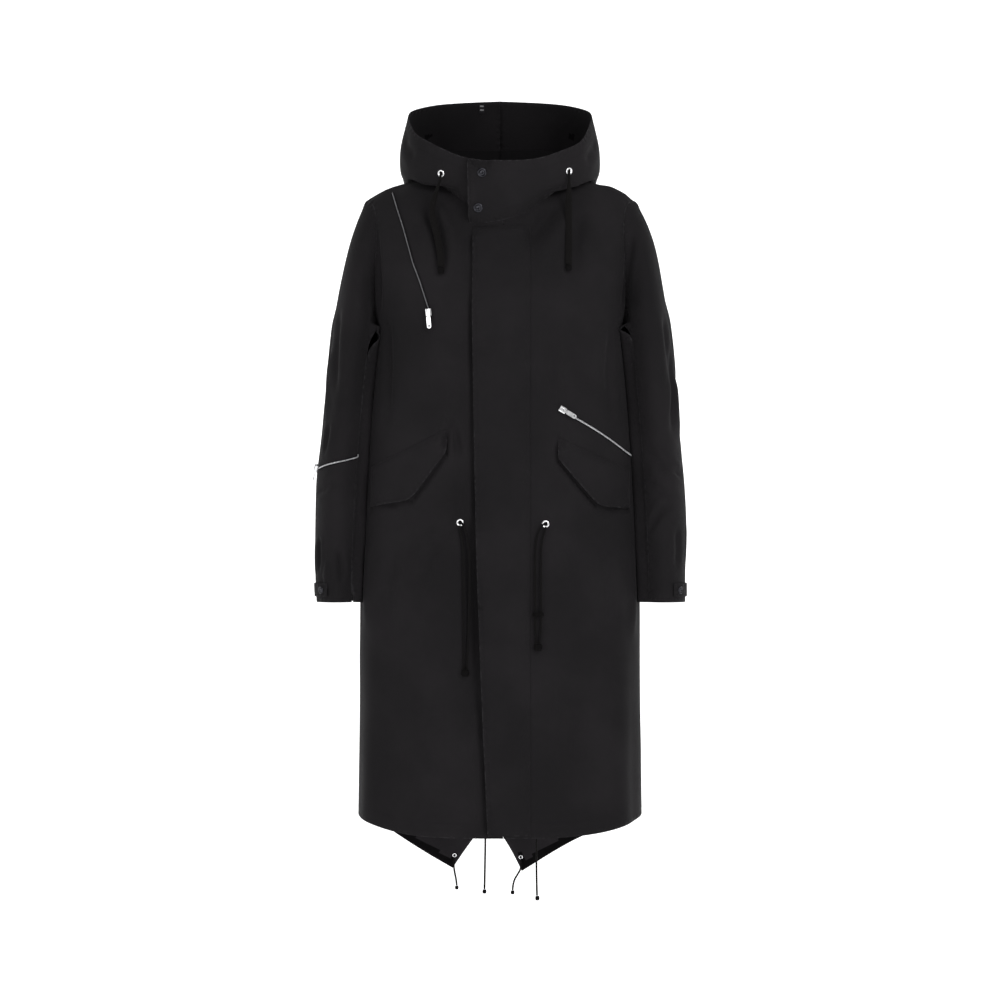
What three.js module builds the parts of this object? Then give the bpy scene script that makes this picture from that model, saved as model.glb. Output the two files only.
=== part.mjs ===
import * as THREE from 'three';

// A hooded fishtail parka, filled out as worn. Millimetres, +Z up, the front faces -Y and the wearer's
// left is +X. The origin is the middle of the neck, level with the shoulder seams beside it.

// Driving dimensions
const cloth = 1.6; // one wall of cloth
const seam = 0.6; // left open between two pieces that are sewn together
const sleeveSeam = 0.8; // the same at the armholes
const underarm = -230;
const crest = 12; // height of the shoulder seam at the neck
const shoulderDrop = 32; // how far it falls to its tip
const shoulderHalf = 205;
const squareness = 2.6; // exponent of the body's rounded-off sections
const underarmHalf = 192;
const chestSpread = 18; // the chest is this much wider, each side, than the body under the arms
const tipSpread = 6; // and this much more at the shoulder seam's tip
const chestFront = 132;
const chestBack = 128;
const closing = 5; // where the two fronts meet, under the storm flap
const backCentre = -17; // the back's middle seam hangs this far off the middle at the hem
const frontHem = -1033;
const sideHem = -1005;
const ventTop = -1025;
const frontColumns = 12;
const backColumns = 8;
const neckShare = 0.25; // share of a panel's columns that end at the neck
const napeLift = 66; // how far up the back's middle goes, in degrees, and the front's
const throatLift = 48;
const besideFlap = { left: 49, right: 43 }; // each front's second column, beside the storm flap's edge
const armSteps = 8; // rows of a panel along one half of the armhole

const rad = Math.PI / 180;
const vec = (x, y, z) => new THREE.Vector3(x, y, z);
const mix = THREE.MathUtils.lerp;
const smooth = (value) => THREE.MathUtils.smoothstep(value, 0, 1);

// Rings of the body below the arms
const skirt = [
  { z: -230, half: 192, front: 132, back: 128 },
  { z: -300, half: 202, front: 131, back: 127 },
  { z: -380, half: 209, front: 130, back: 125 },
  { z: -462, half: 215, front: 130, back: 123 },
  { z: -540, half: 219.5, front: 129, back: 122 },
  { z: -600, half: 222, front: 131, back: 124 },
  { z: -670, half: 224, front: 134, back: 128 },
  { z: -770, half: 223.5, front: 138, back: 135 },
  { z: -900, half: 225, front: 142, back: 142 },
  { z: -1035, half: 227, front: 145, back: 147 },
  { z: -1115, half: 228, front: 147, back: 150 },
];
const bodyRows = [-915, -855, -795, -735, -675, -625, -575, -525, -475, -425, -375, -325, -275];

// The body's long soft folds: angle from the middle of the front or back, where each starts and is
// deepest, how far it stands out (or in, when negative) and its half-width in degrees
const bodyFolds = [
  { side: -1, back: false, angle: 27, top: -560, foot: -960, depth: 5, width: 9 },
  { side: -1, back: false, angle: 46, top: -480, foot: -820, depth: -5, width: 9 },
  { side: -1, back: false, angle: 63, top: -600, foot: -1000, depth: 6, width: 8 },
  { side: 1, back: false, angle: 33, top: -520, foot: -900, depth: -5, width: 10 },
  { side: 1, back: false, angle: 52, top: -560, foot: -980, depth: 6, width: 9 },
  { side: 1, back: false, angle: 70, top: -640, foot: -940, depth: -4, width: 7 },
  { side: -1, back: true, angle: 24, top: -420, foot: -980, depth: 7, width: 11 },
  { side: -1, back: true, angle: 56, top: -480, foot: -940, depth: -7, width: 11 },
  { side: 1, back: true, angle: 20, top: -460, foot: -900, depth: -6, width: 10 },
  { side: 1, back: true, angle: 45, top: -400, foot: -1000, depth: 8, width: 12 },
  { side: 1, back: true, angle: 67, top: -620, foot: -960, depth: -5, width: 9 },
];

// The tails' lower edges, from the point to the side seam, measured out from the middle
const tails = {
  right: [{ out: 76, z: -1107 }, { out: 203, z: -1027 }, { out: 228, z: sideHem }],
  left: [
    { out: 36, z: -1112 }, { out: 131, z: -1054 }, { out: 205, z: -1017 }, { out: 228, z: sideHem },
  ],
};

// A number from a table, straight between its rows
function read(table, key, at, name) {
  const rising = table[table.length - 1][key] > table[0][key];
  for (let i = 1; i < table.length; i += 1) {
    const from = table[i - 1];
    const to = table[i];
    if (rising ? at <= to[key] : at >= to[key]) {
      const share = THREE.MathUtils.clamp((at - from[key]) / (to[key] - from[key]), 0, 1);
      return mix(from[name], to[name], share);
    }
  }
  return table[table.length - 1][name];
}

// Rounded-off sections: the sine and cosine raised to a power, and the angle that gives a width
const round = (value) => Math.sign(value) * Math.abs(value) ** (2 / squareness);
function angleFor(x, half) {
  const share = Math.min(1, Math.abs(x) / half);
  return Math.sign(x) * Math.asin(share ** (squareness / 2)) / rad;
}

function foldDepth(side, back, angle, z) {
  let depth = 0;
  for (const fold of bodyFolds) {
    if (fold.side === side && fold.back === back && z < fold.top) {
      const grown = smooth((fold.top - z) / (fold.top - fold.foot));
      const across = (angle - fold.angle) / fold.width;
      depth += fold.depth * grown * Math.exp(-across * across);
    }
  }
  return depth;
}

function skirtPoint(side, back, angle, z) {
  const x = read(skirt, 'z', z, 'half') * round(Math.sin(angle * rad));
  const y = read(skirt, 'z', z, back ? 'back' : 'front') * round(Math.cos(angle * rad));
  const grow = 1 + foldDepth(side, back, angle, z) / Math.hypot(x, y);
  return vec(side * x * grow, (back ? 1 : -1) * (y * grow + seam / 2), z);
}

function chestHalf(lift) {
  const risen = Math.sin(lift * rad);
  return underarmHalf + chestSpread * risen ** 0.35 + tipSpread * risen ** 6;
}
const crestAt = (x) => crest - shoulderDrop * (x / shoulderHalf) ** 4;

// The chest and shoulders: lift goes from 0 under the arm to 90 on the shoulder seam
function chestPoint(side, back, angle, lift) {
  const x = chestHalf(lift) * round(Math.sin(angle * rad));
  const y = (back ? chestBack : chestFront) * Math.cos(lift * rad) ** 0.9 * round(Math.cos(angle * rad));
  const z = underarm + (crestAt(x) - underarm) * Math.sin(lift * rad) ** 0.9;
  return vec(side * x, (back ? 1 : -1) * (y + seam / 2), z);
}

// Where the armhole runs, as an angle from the middle
function armholeAngle(lift) {
  const share = lift / 90;
  return 90 - 14 * share - 16 * Math.sin(Math.PI * share) ** 0.7 + 7 * share ** 6;
}

// Lifts of the panel rows, even in height round the armhole
function armLift(row) {
  const height = (1 - Math.cos(Math.PI * row / armSteps)) / 2;
  return Math.asin(Math.min(1, height ** (1 / 0.9))) / rad;
}

// How far up each column goes: the neckline, then the shoulder seam
function topLift(back, share) {
  if (share >= neckShare - 1e-6) return 90;
  const along = share / neckShare;
  return back ? mix(napeLift, 90, along ** 2) : mix(throatLift, 90, along ** 1.6);
}

function columnAngles(side, back, half, centreX, endAngle, count) {
  const first = angleFor(side * centreX + seam / 2, half);
  if (back) return Array.from({ length: count + 1 }, (_, i) => mix(first, endAngle, i / count));
  const second = angleFor(side > 0 ? besideFlap.left : besideFlap.right, half);
  const rest = Array.from({ length: count }, (_, i) => mix(second, endAngle, i / (count - 1)));
  return [first, ...rest];
}

const centreAt = (back, z) => (back ? backCentre * smooth((-300 - z) / 600) : closing);

function levelRow(side, back, count, z) {
  const angles = columnAngles(side, back, read(skirt, 'z', z, 'half'), centreAt(back, z), 90, count);
  return angles.map((angle) => skirtPoint(side, back, angle, z));
}

function chestRow(side, back, count, row) {
  const points = [];
  for (let i = 0; i <= count; i += 1) {
    const lift = armLift(row) * topLift(back, i / count) / 90;
    const centreX = back ? 0 : closing;
    const angles = columnAngles(side, back, chestHalf(lift), centreX, armholeAngle(lift), count);
    points.push(chestPoint(side, back, angles[i], lift));
  }
  return points;
}

function frontHemRow(side, count) {
  return levelRow(side, false, count, frontHem + 20).map((point) => {
    const hem = frontHem + (sideHem - frontHem) * (Math.abs(point.x) / skirt[9].half) ** 4;
    return vec(point.x, point.y, hem);
  });
}

// The back ends in two pointed tails, parted below the vent
function tailRows(side, count) {
  const edge = side > 0 ? tails.left : tails.right;
  const half = read(skirt, 'z', ventTop, 'half');
  const ventAngles = columnAngles(side, true, half, backCentre, 90, count);
  const tipAngle = angleFor(edge[0].out, half);
  return [0, 0.5, 1].map((up) => ventAngles.map((ventAngle, i) => {
    const edgeAngle = mix(tipAngle, 90, i / count);
    const edgeHeight = read(edge, 'out', half * round(Math.sin(edgeAngle * rad)), 'z');
    const ventHeight = mix(ventTop, sideHem + 20, i / count);
    return skirtPoint(side, true, mix(edgeAngle, ventAngle, up), mix(edgeHeight, ventHeight, up));
  }));
}

function panelGrid(side, back) {
  const count = back ? backColumns : frontColumns;
  const rows = back ? tailRows(side, count) : [frontHemRow(side, count)];
  rows.push(levelRow(side, back, count, -965));
  for (const z of bodyRows) rows.push(levelRow(side, back, count, z));
  for (let row = 0; row <= armSteps; row += 1) rows.push(chestRow(side, back, count, row));
  return rows;
}

// Outward normals of a grid of points; facing is 1 or -1, and seamAxis names the axis that a normal
// drops where a piece ends at a seam, so that neighbours don't lean into each other
function gridNormals(grid, facing, seamAxis = () => null) {
  const last = grid.length - 1;
  return grid.map((row, j) => row.map((_, i) => {
    const across = row[Math.min(i + 1, row.length - 1)].clone().sub(row[Math.max(i - 1, 0)]);
    const along = grid[Math.min(j + 1, last)][i].clone().sub(grid[Math.max(j - 1, 0)][i]);
    const normal = across.cross(along).multiplyScalar(facing);
    const axis = seamAxis(i, j);
    if (axis) normal[axis] = 0;
    return normal.normalize();
  }));
}

const movedOut = (grid, normals, far) =>
  grid.map((row, j) => row.map((point, i) => point.clone().addScaledVector(normals[j][i], far)));

// A closed solid between an outer and an inner grid of points
function wallGeometry(outer, inner, facing) {
  const rows = outer.length;
  const columns = outer[0].length;
  const positions = [...outer.flat(), ...inner.flat()].flatMap((point) => point.toArray());
  const at = (j, i) => j * columns + i;
  const index = [];
  const quad = (a, b, c, d) => (facing > 0 ? index.push(a, b, c, a, c, d) : index.push(a, c, b, a, d, c));
  const inside = rows * columns;
  for (let j = 0; j < rows - 1; j += 1) {
    for (let i = 0; i < columns - 1; i += 1) {
      const [a, b, c, d] = [at(j, i), at(j, i + 1), at(j + 1, i + 1), at(j + 1, i)];
      quad(a, b, c, d);
      quad(inside + a, inside + d, inside + c, inside + b);
    }
  }
  const rim = (a, b) => quad(b, a, inside + a, inside + b);
  for (let i = 0; i < columns - 1; i += 1) {
    rim(at(0, i), at(0, i + 1));
    rim(at(rows - 1, i + 1), at(rows - 1, i));
  }
  for (let j = 0; j < rows - 1; j += 1) {
    rim(at(j + 1, 0), at(j, 0));
    rim(at(j, columns - 1), at(j + 1, columns - 1));
  }
  const geometry = new THREE.BufferGeometry();
  geometry.setAttribute('position', new THREE.Float32BufferAttribute(positions, 3));
  geometry.setIndex(index);
  geometry.computeVertexNormals();
  return geometry;
}

// Materials
const clothMaterial = (color) => new THREE.MeshStandardMaterial({ color, roughness: 0.92, metalness: 0 });
const blackCloth = 0x242326;

const parka = new THREE.Group();
parka.name = 'parka';

function add(name, geometry, material) {
  const mesh = new THREE.Mesh(geometry, material);
  mesh.name = name;
  parka.add(mesh);
  return mesh;
}

// Fronts and backs
function bodyPanel(name, side, back) {
  const grid = panelGrid(side, back);
  const facing = side * (back ? -1 : 1);
  const underarmRow = grid.length - 1 - armSteps;
  const lastColumn = grid[0].length - 1;
  const seamAxis = (i, j) => {
    if (i === lastColumn && j <= underarmRow) return 'y';
    if (j === grid.length - 1 && i >= lastColumn * neckShare - 1e-6) return 'y';
    return i === 0 ? 'x' : null;
  };
  const normals = gridNormals(grid, facing, seamAxis);
  add(name, wallGeometry(grid, movedOut(grid, normals, -cloth), facing), clothMaterial(blackCloth));
  return { grid, normals, facing };
}

const frontRight = bodyPanel('front_right', -1, false);
const frontLeft = bodyPanel('front_left', 1, false);
const backRight = bodyPanel('back_right', -1, true);
const backLeft = bodyPanel('back_left', 1, true);

// Sleeves: rings that fan out from the armhole, then level rings down to the cuff. Right and left are how
// far out each sleeve reaches.
const sleeveFan = [
  { right: 222, left: 228, outZ: -33, inX: 193.4, inZ: -233, depth: 56, kept: 0.7 },
  { right: 231, left: 238, outZ: -55, inX: 194.4, inZ: -237, depth: 63, kept: 0.4 },
  { right: 243, left: 250, outZ: -92, inX: 195.2, inZ: -242, depth: 68, kept: 0.15 },
  { right: 251.5, left: 259, outZ: -140, inX: 196.4, inZ: -248, depth: 72, kept: 0 },
  { right: 262, left: 267.5, outZ: -192, inX: 198, inZ: -256, depth: 75, kept: 0 },
  { right: 269, left: 274, outZ: -240, inX: 199.8, inZ: -266, depth: 77, kept: 0 },
];
const sleeveRings = [
  { z: -292, right: 275, left: 279, depth: 78, lean: 0 },
  { z: -325, right: 279, left: 281.5, depth: 77, lean: -1 },
  { z: -365, right: 283, left: 285, depth: 75, lean: -3 },
  { z: -405, right: 287, left: 288.5, depth: 73, lean: -6 },
  { z: -440, right: 291, left: 292, depth: 71, lean: -9 },
  { z: -470, right: 294, left: 295, depth: 70, lean: -12 },
  { z: -500, right: 294, left: 296, depth: 67, lean: -15 },
  { z: -540, right: 295, left: 298, depth: 64, lean: -18 },
  { z: -580, right: 296, left: 298, depth: 61, lean: -20 },
  { z: -625, right: 295, left: 296, depth: 58, lean: -22 },
  { z: -666, right: 293, left: 296, depth: 56, lean: -23 },
];
const ringSteps = 2 * armSteps;
const sleeveClear = 1.6; // between a sleeve and the body beside it

// The armhole edge of the front and the back as one loop, from the shoulder tip round the front
function armholeLoop(side, front, back) {
  const edge = (panel, row) => {
    const j = panel.grid.length - 1 - armSteps + row;
    const line = panel.grid[j];
    const point = line[line.length - 1];
    const normal = panel.normals[j][line.length - 1];
    const inward = line[line.length - 2].clone().sub(point);
    const off = inward.addScaledVector(normal, -inward.dot(normal)).normalize().negate();
    return { point, normal, off };
  };
  const loop = [];
  for (let m = 0; m < ringSteps; m += 1) {
    const fromTop = m <= armSteps ? m : ringSteps - m;
    const found = edge(m <= armSteps ? front : back, armSteps - fromTop);
    const turn = Math.PI / 2 * fromTop / armSteps;
    const start = found.point.clone();
    start.addScaledVector(found.off, sleeveSeam * Math.cos(turn));
    start.addScaledVector(found.normal, sleeveSeam * Math.sin(turn));
    if (fromTop === 0 || fromTop === armSteps) start.y = 0;
    loop.push(start);
  }
  return loop;
}

function ringPoint(side, turn, outer, inner, depth) {
  const centre = outer.clone().add(inner).multiplyScalar(0.5);
  const reach = outer.clone().sub(inner).multiplyScalar(0.5);
  const point = centre.addScaledVector(reach, Math.cos(turn));
  point.y -= depth * Math.sin(turn);
  return point;
}

function sleeveGrid(side, sideName, front, back) {
  const loop = armholeLoop(side, front, back);
  const top = loop[0];
  const foot = loop[armSteps];
  const middle = top.clone().add(foot).multiplyScalar(0.5);
  const rings = [loop];
  for (const row of sleeveFan) {
    const outer = vec(side * row[sideName], 0, row.outZ);
    const inner = vec(side * row.inX, 0, row.inZ);
    const shift = outer.clone().add(inner).multiplyScalar(0.5).sub(middle);
    rings.push(loop.map((start, m) => {
      const turn = 2 * Math.PI * m / ringSteps;
      return ringPoint(side, turn, outer, inner, row.depth).lerp(start.clone().add(shift), row.kept);
    }));
  }
  for (const row of sleeveRings) {
    const outer = vec(side * row[sideName], row.lean, row.z);
    const inner = vec(side * (read(skirt, 'z', row.z, 'half') + sleeveClear), row.lean, row.z);
    rings.push(loop.map((_, m) => ringPoint(side, 2 * Math.PI * m / ringSteps, outer, inner, row.depth)));
  }
  return rings;
}

// Outward normals of rings that close on themselves
function ringNormals(rings, facing) {
  const wrapped = rings.map((ring) => [ring[ring.length - 1], ...ring, ring[0]]);
  return gridNormals(wrapped, facing).map((row) => row.slice(1, -1));
}

// A run of a closed ring grid's columns, with the seam left open at both ends
function ringRun(rings, from, to) {
  return rings.map((ring) => {
    const run = [];
    for (let m = from; m <= to; m += 1) run.push(ring[(m + ringSteps) % ringSteps].clone());
    const open = (end, next) => end.addScaledVector(next.clone().sub(end).normalize(), seam / 2);
    open(run[0], run[1]);
    open(run[run.length - 1], run[run.length - 2]);
    return run;
  });
}

// Seams along the sleeve: in front near the body, and behind towards the outside
const sleeveSpans = [
  { name: 'top_sleeve', from: -3, to: 6 },
  { name: 'under_sleeve', from: 6, to: 13 },
];

function sleeve(side, sideName, front, back) {
  const outer = sleeveGrid(side, sideName, front, back);
  const normals = ringNormals(outer, side);
  const inner = movedOut(outer, normals, -cloth);
  for (const span of sleeveSpans) {
    const walls = [outer, inner].map((rings) => ringRun(rings, span.from, span.to));
    add(`${span.name}_${sideName}`, wallGeometry(walls[0], walls[1], side), clothMaterial(blackCloth));
  }
  return { grid: outer, normals };
}

const sleeveRight = sleeve(-1, 'right', frontRight, backRight);
const sleeveLeft = sleeve(1, 'left', frontLeft, backLeft);

// The hood, dropped: each section runs from its seam over a crest, down to the foot of its pouch and up
// the wall to the rim of the face opening. x is measured out from the middle.
const hoodBack = [
  { seam: [95, 0, 12], crest: [106, 0, 42], foot: [154, 0, 5], wall: [161, 0, 52], rim: [147, -2, 106] },
  { seam: [91, 18, 11.5], crest: [104, 26, 52], foot: [151, 42, -3], wall: [158, 48, 44],
    rim: [146, 16, 115] },
  { seam: [84, 36, 6.5], crest: [98, 52, 60], foot: [143, 82, -36], wall: [154, 96, 28],
    rim: [139, 40, 124] },
  { seam: [50, 46, 3], crest: [66, 74, 76], foot: [104, 140, -116], wall: [116, 168, -12],
    rim: [95, 90, 139] },
  { seam: [0.4, 58.5, -6], crest: [0.4, 88, 80], foot: [0.4, 150, -150], wall: [0.4, 188, -25],
    rim: [0.4, 130, 147.5] },
];
// At the throat the hood is one standing wall, from its seam on the front to the rim
const throatLeft = [
  { seam: [-50, -108, -66], rim: [-52, -119, 32] },
  { seam: [-20, -108, -67], rim: [-20, -119, 30] },
  { seam: [8, -107, -60], rim: [12, -119, 29] },
  { seam: [48, -97, -47], rim: [60, -111, 32] },
];
const throatRight = [
  { seam: [20, -96.5, -45], rim: [20, -112.5, 29] },
  { seam: [56, -85, -30], rim: [62, -109, 35] },
];
// Between the two, the wall starts to turn out over the shoulder
const turnLeft = [
  { seam: [86, -64, -12], crest: [92, -68, -9], foot: [101, -77, -18], wall: [107, -86, 16],
    rim: [104, -87, 50] },
  { seam: [100, -43, 2.5], crest: [112, -45, 14], foot: [130, -49.5, -3], wall: [142, -52, 25],
    rim: [132, -58, 66] },
];
const turnRight = [
  { seam: [90, -51.5, -3], crest: [97, -56, 2], foot: [110, -64, -10], wall: [116, -74, 26],
    rim: [112, -74, 62] },
  { seam: [100, -34, 5], crest: [112, -36, 17], foot: [136, -39.5, 2.5], wall: [149, -42, 38],
    rim: [136, -46, 79] },
];
const profile = ['seam', 'crest', 'foot', 'wall', 'rim'];
const hoodRows = 13;

function standingWall({ seam: low, rim: high }) {
  const section = { seam: low, rim: high };
  profile.slice(1, 4).forEach((name, i) => {
    section[name] = low.map((value, axis) => mix(value, high[axis], (i + 1) / 4));
  });
  return section;
}

// Points along one section, and the sections between the table's rows
function hoodGrid(side, sections, columns) {
  const lines = profile.map((name) => new THREE.CatmullRomCurve3(
    sections.map((section) => vec(side * section[name][0], section[name][1], section[name][2])),
    false,
    'catmullrom',
    0.5,
  ));
  const columnLines = [];
  for (let i = 0; i <= columns; i += 1) {
    const points = lines.map((line) => line.getPoint(i / columns));
    columnLines.push(new THREE.CatmullRomCurve3(points, false, 'centripetal').getSpacedPoints(hoodRows));
  }
  return columnLines[0].map((_, j) => columnLines.map((line) => line[j]));
}

function hoodHalf(name, side, sections, columns) {
  const grid = hoodGrid(side, sections, columns);
  const normals = gridNormals(grid, side, (i) => (i === columns ? 'x' : null));
  add(name, wallGeometry(grid, movedOut(grid, normals, -cloth), side), clothMaterial(blackCloth));
  return { grid, normals, facing: side };
}

const rightSections = [...throatRight.map(standingWall), ...turnRight, ...hoodBack];
const hoodRight = hoodHalf('hood_right', -1, rightSections, 15);
const hoodLeft = hoodHalf('hood_left', 1, [...throatLeft.map(standingWall), ...turnLeft, ...hoodBack], 18);

// The outer face of faceted panels at a place seen from the front, and the same moved out
function faceAt(panels, x, z) {
  let best = null;
  for (const { grid, normals } of panels) {
    for (let j = 0; j < grid.length - 1; j += 1) {
      for (let i = 0; i < grid[0].length - 1; i += 1) {
        const far = [j + 1, i + 1];
        for (const corners of [[[j, i], [j, i + 1], far], [[j, i], far, [j + 1, i]]]) {
          const found = insideFacet(corners.map(([r, c]) => grid[r][c]), x, z);
          if (found && (!best || found.point.y < best.point.y)) {
            const normal = vec(0, 0, 0);
            corners.forEach(([r, c], k) => normal.addScaledVector(normals[r][c], found.shares[k]));
            best = { point: found.point, normal: normal.normalize() };
          }
        }
      }
    }
  }
  if (!best) throw new Error(`nothing at ${x}, ${z}`);
  return best;
}

function insideFacet([a, b, c], x, z) {
  const whole = (b.x - a.x) * (c.z - a.z) - (c.x - a.x) * (b.z - a.z);
  if (Math.abs(whole) < 1e-9) return null;
  const shareB = ((x - a.x) * (c.z - a.z) - (c.x - a.x) * (z - a.z)) / whole;
  const shareC = ((b.x - a.x) * (z - a.z) - (x - a.x) * (b.z - a.z)) / whole;
  const shares = [1 - shareB - shareC, shareB, shareC];
  if (shares.some((share) => share < -1e-6)) return null;
  return { shares, point: vec(x, a.y * shares[0] + b.y * shareB + c.y * shareC, z) };
}

function lifted(panels, x, z, lift) {
  const { point, normal } = faceAt(panels, x, z);
  return point.addScaledVector(normal, lift);
}

// A piece of cloth on the body's front: rows of places, each with the height of its outer face
function overlay(name, panels, rows, thick, facing, material) {
  const outer = rows.map((row) => row.map(({ x, z, lift }) => lifted(panels, x, z, lift)));
  const inner = rows.map((row) => row.map(({ x, z, lift }) => lifted(panels, x, z, lift - thick)));
  add(name, wallGeometry(outer, inner, facing), material);
}

const fronts = [frontRight, frontLeft];

// The storm flap: sewn down its wearer's-left edge, standing off the front at its free edge
const flapEdge = [
  { z: -72, free: -42.5, stand: 6 },
  { z: -210, free: -43.8, stand: 7 },
  { z: -440, free: -40, stand: 9 },
  { z: -600, free: -36.5, stand: 12 },
  { z: -820, free: -28.5, stand: 11 },
  { z: -1030, free: -19, stand: 8 },
];
const flapSewn = 48;
const laidOn = 0.8; // between a piece and the panel that it is sewn to
const flapTopRows = [-72, -86, -100, -115, -130, -146, -163, -182, -204, -230];
const flapRows = [...flapTopRows, ...[...bodyRows].reverse(), -965, -1029];

function stormFlap() {
  const rows = [...flapRows].reverse().map((z) => {
    const free = read(flapEdge, 'z', z, 'free');
    const stand = read(flapEdge, 'z', z, 'stand');
    const places = [free, mix(free, closing, 0.5), closing - 0.8, mix(closing, flapSewn, 0.5), flapSewn];
    return places.map((x) => ({
      x,
      z,
      lift: mix(stand, laidOn + cloth, ((x - free) / (flapSewn - free)) ** 0.8),
    }));
  });
  overlay('storm_flap', fronts, rows, cloth, 1, clothMaterial(blackCloth));
}
stormFlap();

// Slanted pocket flaps: the sewn edge on top and the free edge below, by their distance from the middle
const pocketFlaps = [
  {
    name: 'pocket_flap_right', side: -1, panel: frontRight,
    edges: [
      { out: 84, sewn: -392, free: -428 },
      { out: 139, sewn: -420, free: -504 },
      { out: 205, sewn: -452, free: -515 },
    ],
  },
  {
    name: 'pocket_flap_left', side: 1, panel: frontLeft,
    edges: [
      { out: 91, sewn: -405, free: -440 },
      { out: 153, sewn: -433, free: -513 },
      { out: 205, sewn: -457, free: -518 },
    ],
  },
];
const flapStand = 6.5;
const flapLaid = 1.2; // under its sewn edge, where it crosses the panel's facets

for (const { name, side, panel, edges } of pocketFlaps) {
  const rows = [1, 0.75, 0.5, 0.25, 0].map((down) => Array.from({ length: 13 }, (_, i) => {
    const out = mix(edges[0].out, edges[2].out, i / 12);
    const z = mix(read(edges, 'out', out, 'sewn'), read(edges, 'out', out, 'free'), down);
    return { x: side * out, z, lift: mix(flapLaid + cloth, flapStand, down) };
  }));
  overlay(name, [panel], rows, cloth, side, clothMaterial(blackCloth));
}

// Closed zips: a narrow strip along its line, with a slider at one end and a pull tab on a hinge
const zipWidth = 5.4;
const zipThick = 1.1;
const metalOf = (color, roughness, metalness) => new THREE.MeshStandardMaterial({ color, roughness, metalness });
const zipMaterial = () => metalOf(0x8b8b8e, 0.45, 0.8);
const metal = () => metalOf(0xc8c8ca, 0.3, 1);
const darkMetal = () => metalOf(0x3c3c40, 0.35, 0.9);

const zips = {
  chest: { panel: frontRight, facing: 1, line: [[-172, -14], [-160, -52], [-142, -108], [-126, -160],
    [-112, -204]] },
  hip: { panel: frontLeft, facing: 1, line: [[102.5, -366], [121, -377], [150, -394], [179, -413],
    [206, -433]] },
};

// Crosswise pairs of places along a line of places
function stripRows(line, steps, width, lift) {
  const curve = new THREE.CatmullRomCurve3(line.map(([x, z]) => vec(x, 0, z)));
  const rows = [];
  for (let i = 0; i <= steps; i += 1) {
    const point = curve.getPoint(i / steps);
    const along = curve.getTangent(i / steps);
    const across = [-0.5, 0.5].map((half) => ({
      x: point.x + along.z * width * half,
      z: point.z - along.x * width * half,
      lift,
    }));
    rows.push(across);
  }
  return rows;
}

for (const [name, { panel, facing, line }] of Object.entries(zips)) {
  const rows = stripRows(line, 14, zipWidth, laidOn + zipThick);
  overlay(`${name}_zip`, [panel], rows, zipThick, facing, zipMaterial());
}

// A frame of axes on a surface: X across, Y along the given direction, Z out of the surface
function surfaceFrame(point, normal, along, lift) {
  const flatAlong = along.clone().addScaledVector(normal, -along.dot(normal)).normalize();
  const across = flatAlong.clone().cross(normal).normalize();
  const matrix = new THREE.Matrix4().makeBasis(across, flatAlong, normal);
  return matrix.setPosition(point.clone().addScaledVector(normal, lift));
}

const sliderWidth = 9;
const sliderLength = 11;
const sliderBase = 2.4;
const lugTop = 5.4;
const pinHeight = 4;
const pinAlong = 2.5; // from the slider's middle, towards the pull
const pullThick = 1.2;

// The slider's section, a base with two lugs that hold the pull, drawn out along the zip
function sliderGeometry() {
  const shape = new THREE.Shape();
  const half = sliderWidth / 2;
  const outline = [[-half, 0], [half, 0], [half, sliderBase - 0.5], [3.3, sliderBase], [3.2, lugTop],
    [2.1, lugTop],
    [2.1, sliderBase], [-2.1, sliderBase], [-2.1, lugTop], [-3.2, lugTop], [-3.3, sliderBase],
    [-half, sliderBase - 0.5]];
  shape.setFromPoints(outline.map(([x, z]) => new THREE.Vector2(x, z)));
  const geometry = new THREE.ExtrudeGeometry(shape, { depth: sliderLength, bevelEnabled: false, steps: 1 });
  geometry.rotateX(Math.PI / 2);
  geometry.translate(0, sliderLength / 2, 0);
  return geometry;
}

// The pull tab: a neck between the lugs, a plate with rounded corners and a hole near its end
function pullGeometry(length) {
  const shape = new THREE.Shape();
  shape.moveTo(-1.7, -1.1);
  shape.lineTo(1.7, -1.1);
  shape.lineTo(1.7, 3.4);
  shape.lineTo(3.4, 5);
  shape.lineTo(3.4, length - 3.4);
  shape.absarc(0, length - 3.4, 3.4, 0, Math.PI, false);
  shape.lineTo(-3.4, 5);
  shape.lineTo(-1.7, 3.4);
  shape.closePath();
  const hole = new THREE.Path();
  hole.absarc(0, length - 4, 1.7, 0, 2 * Math.PI, true);
  shape.holes.push(hole);
  const geometry = new THREE.ExtrudeGeometry(shape, { depth: pullThick, bevelEnabled: false,
    curveSegments: 6 });
  geometry.translate(0, 0, -pullThick / 2);
  return geometry;
}

// A slider and its pull tab, which turns about the pin between the slider's lugs, across the zip
function sliderAndPull(name, point, normal, along, pullLength) {
  const frame = surfaceFrame(point, normal, along, laidOn + zipThick + 0.3);
  add(`${name}_slider`, sliderGeometry(), metal()).applyMatrix4(frame);
  const pin = new THREE.Matrix4().makeTranslation(0, pinAlong, pinHeight);
  add(`${name}_pull`, pullGeometry(pullLength), metal()).applyMatrix4(frame.clone().multiply(pin));
}

const chestEnd = faceAt([frontRight], -111, -210);
sliderAndPull('chest_zip', chestEnd.point, chestEnd.normal, vec(0.1, 0, -1), 23);
const hipEnd = faceAt([frontLeft], 97.5, -362.5);
sliderAndPull('hip_zip', hipEnd.point, hipEnd.normal, vec(0.86, 0, -0.5), 22);

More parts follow.
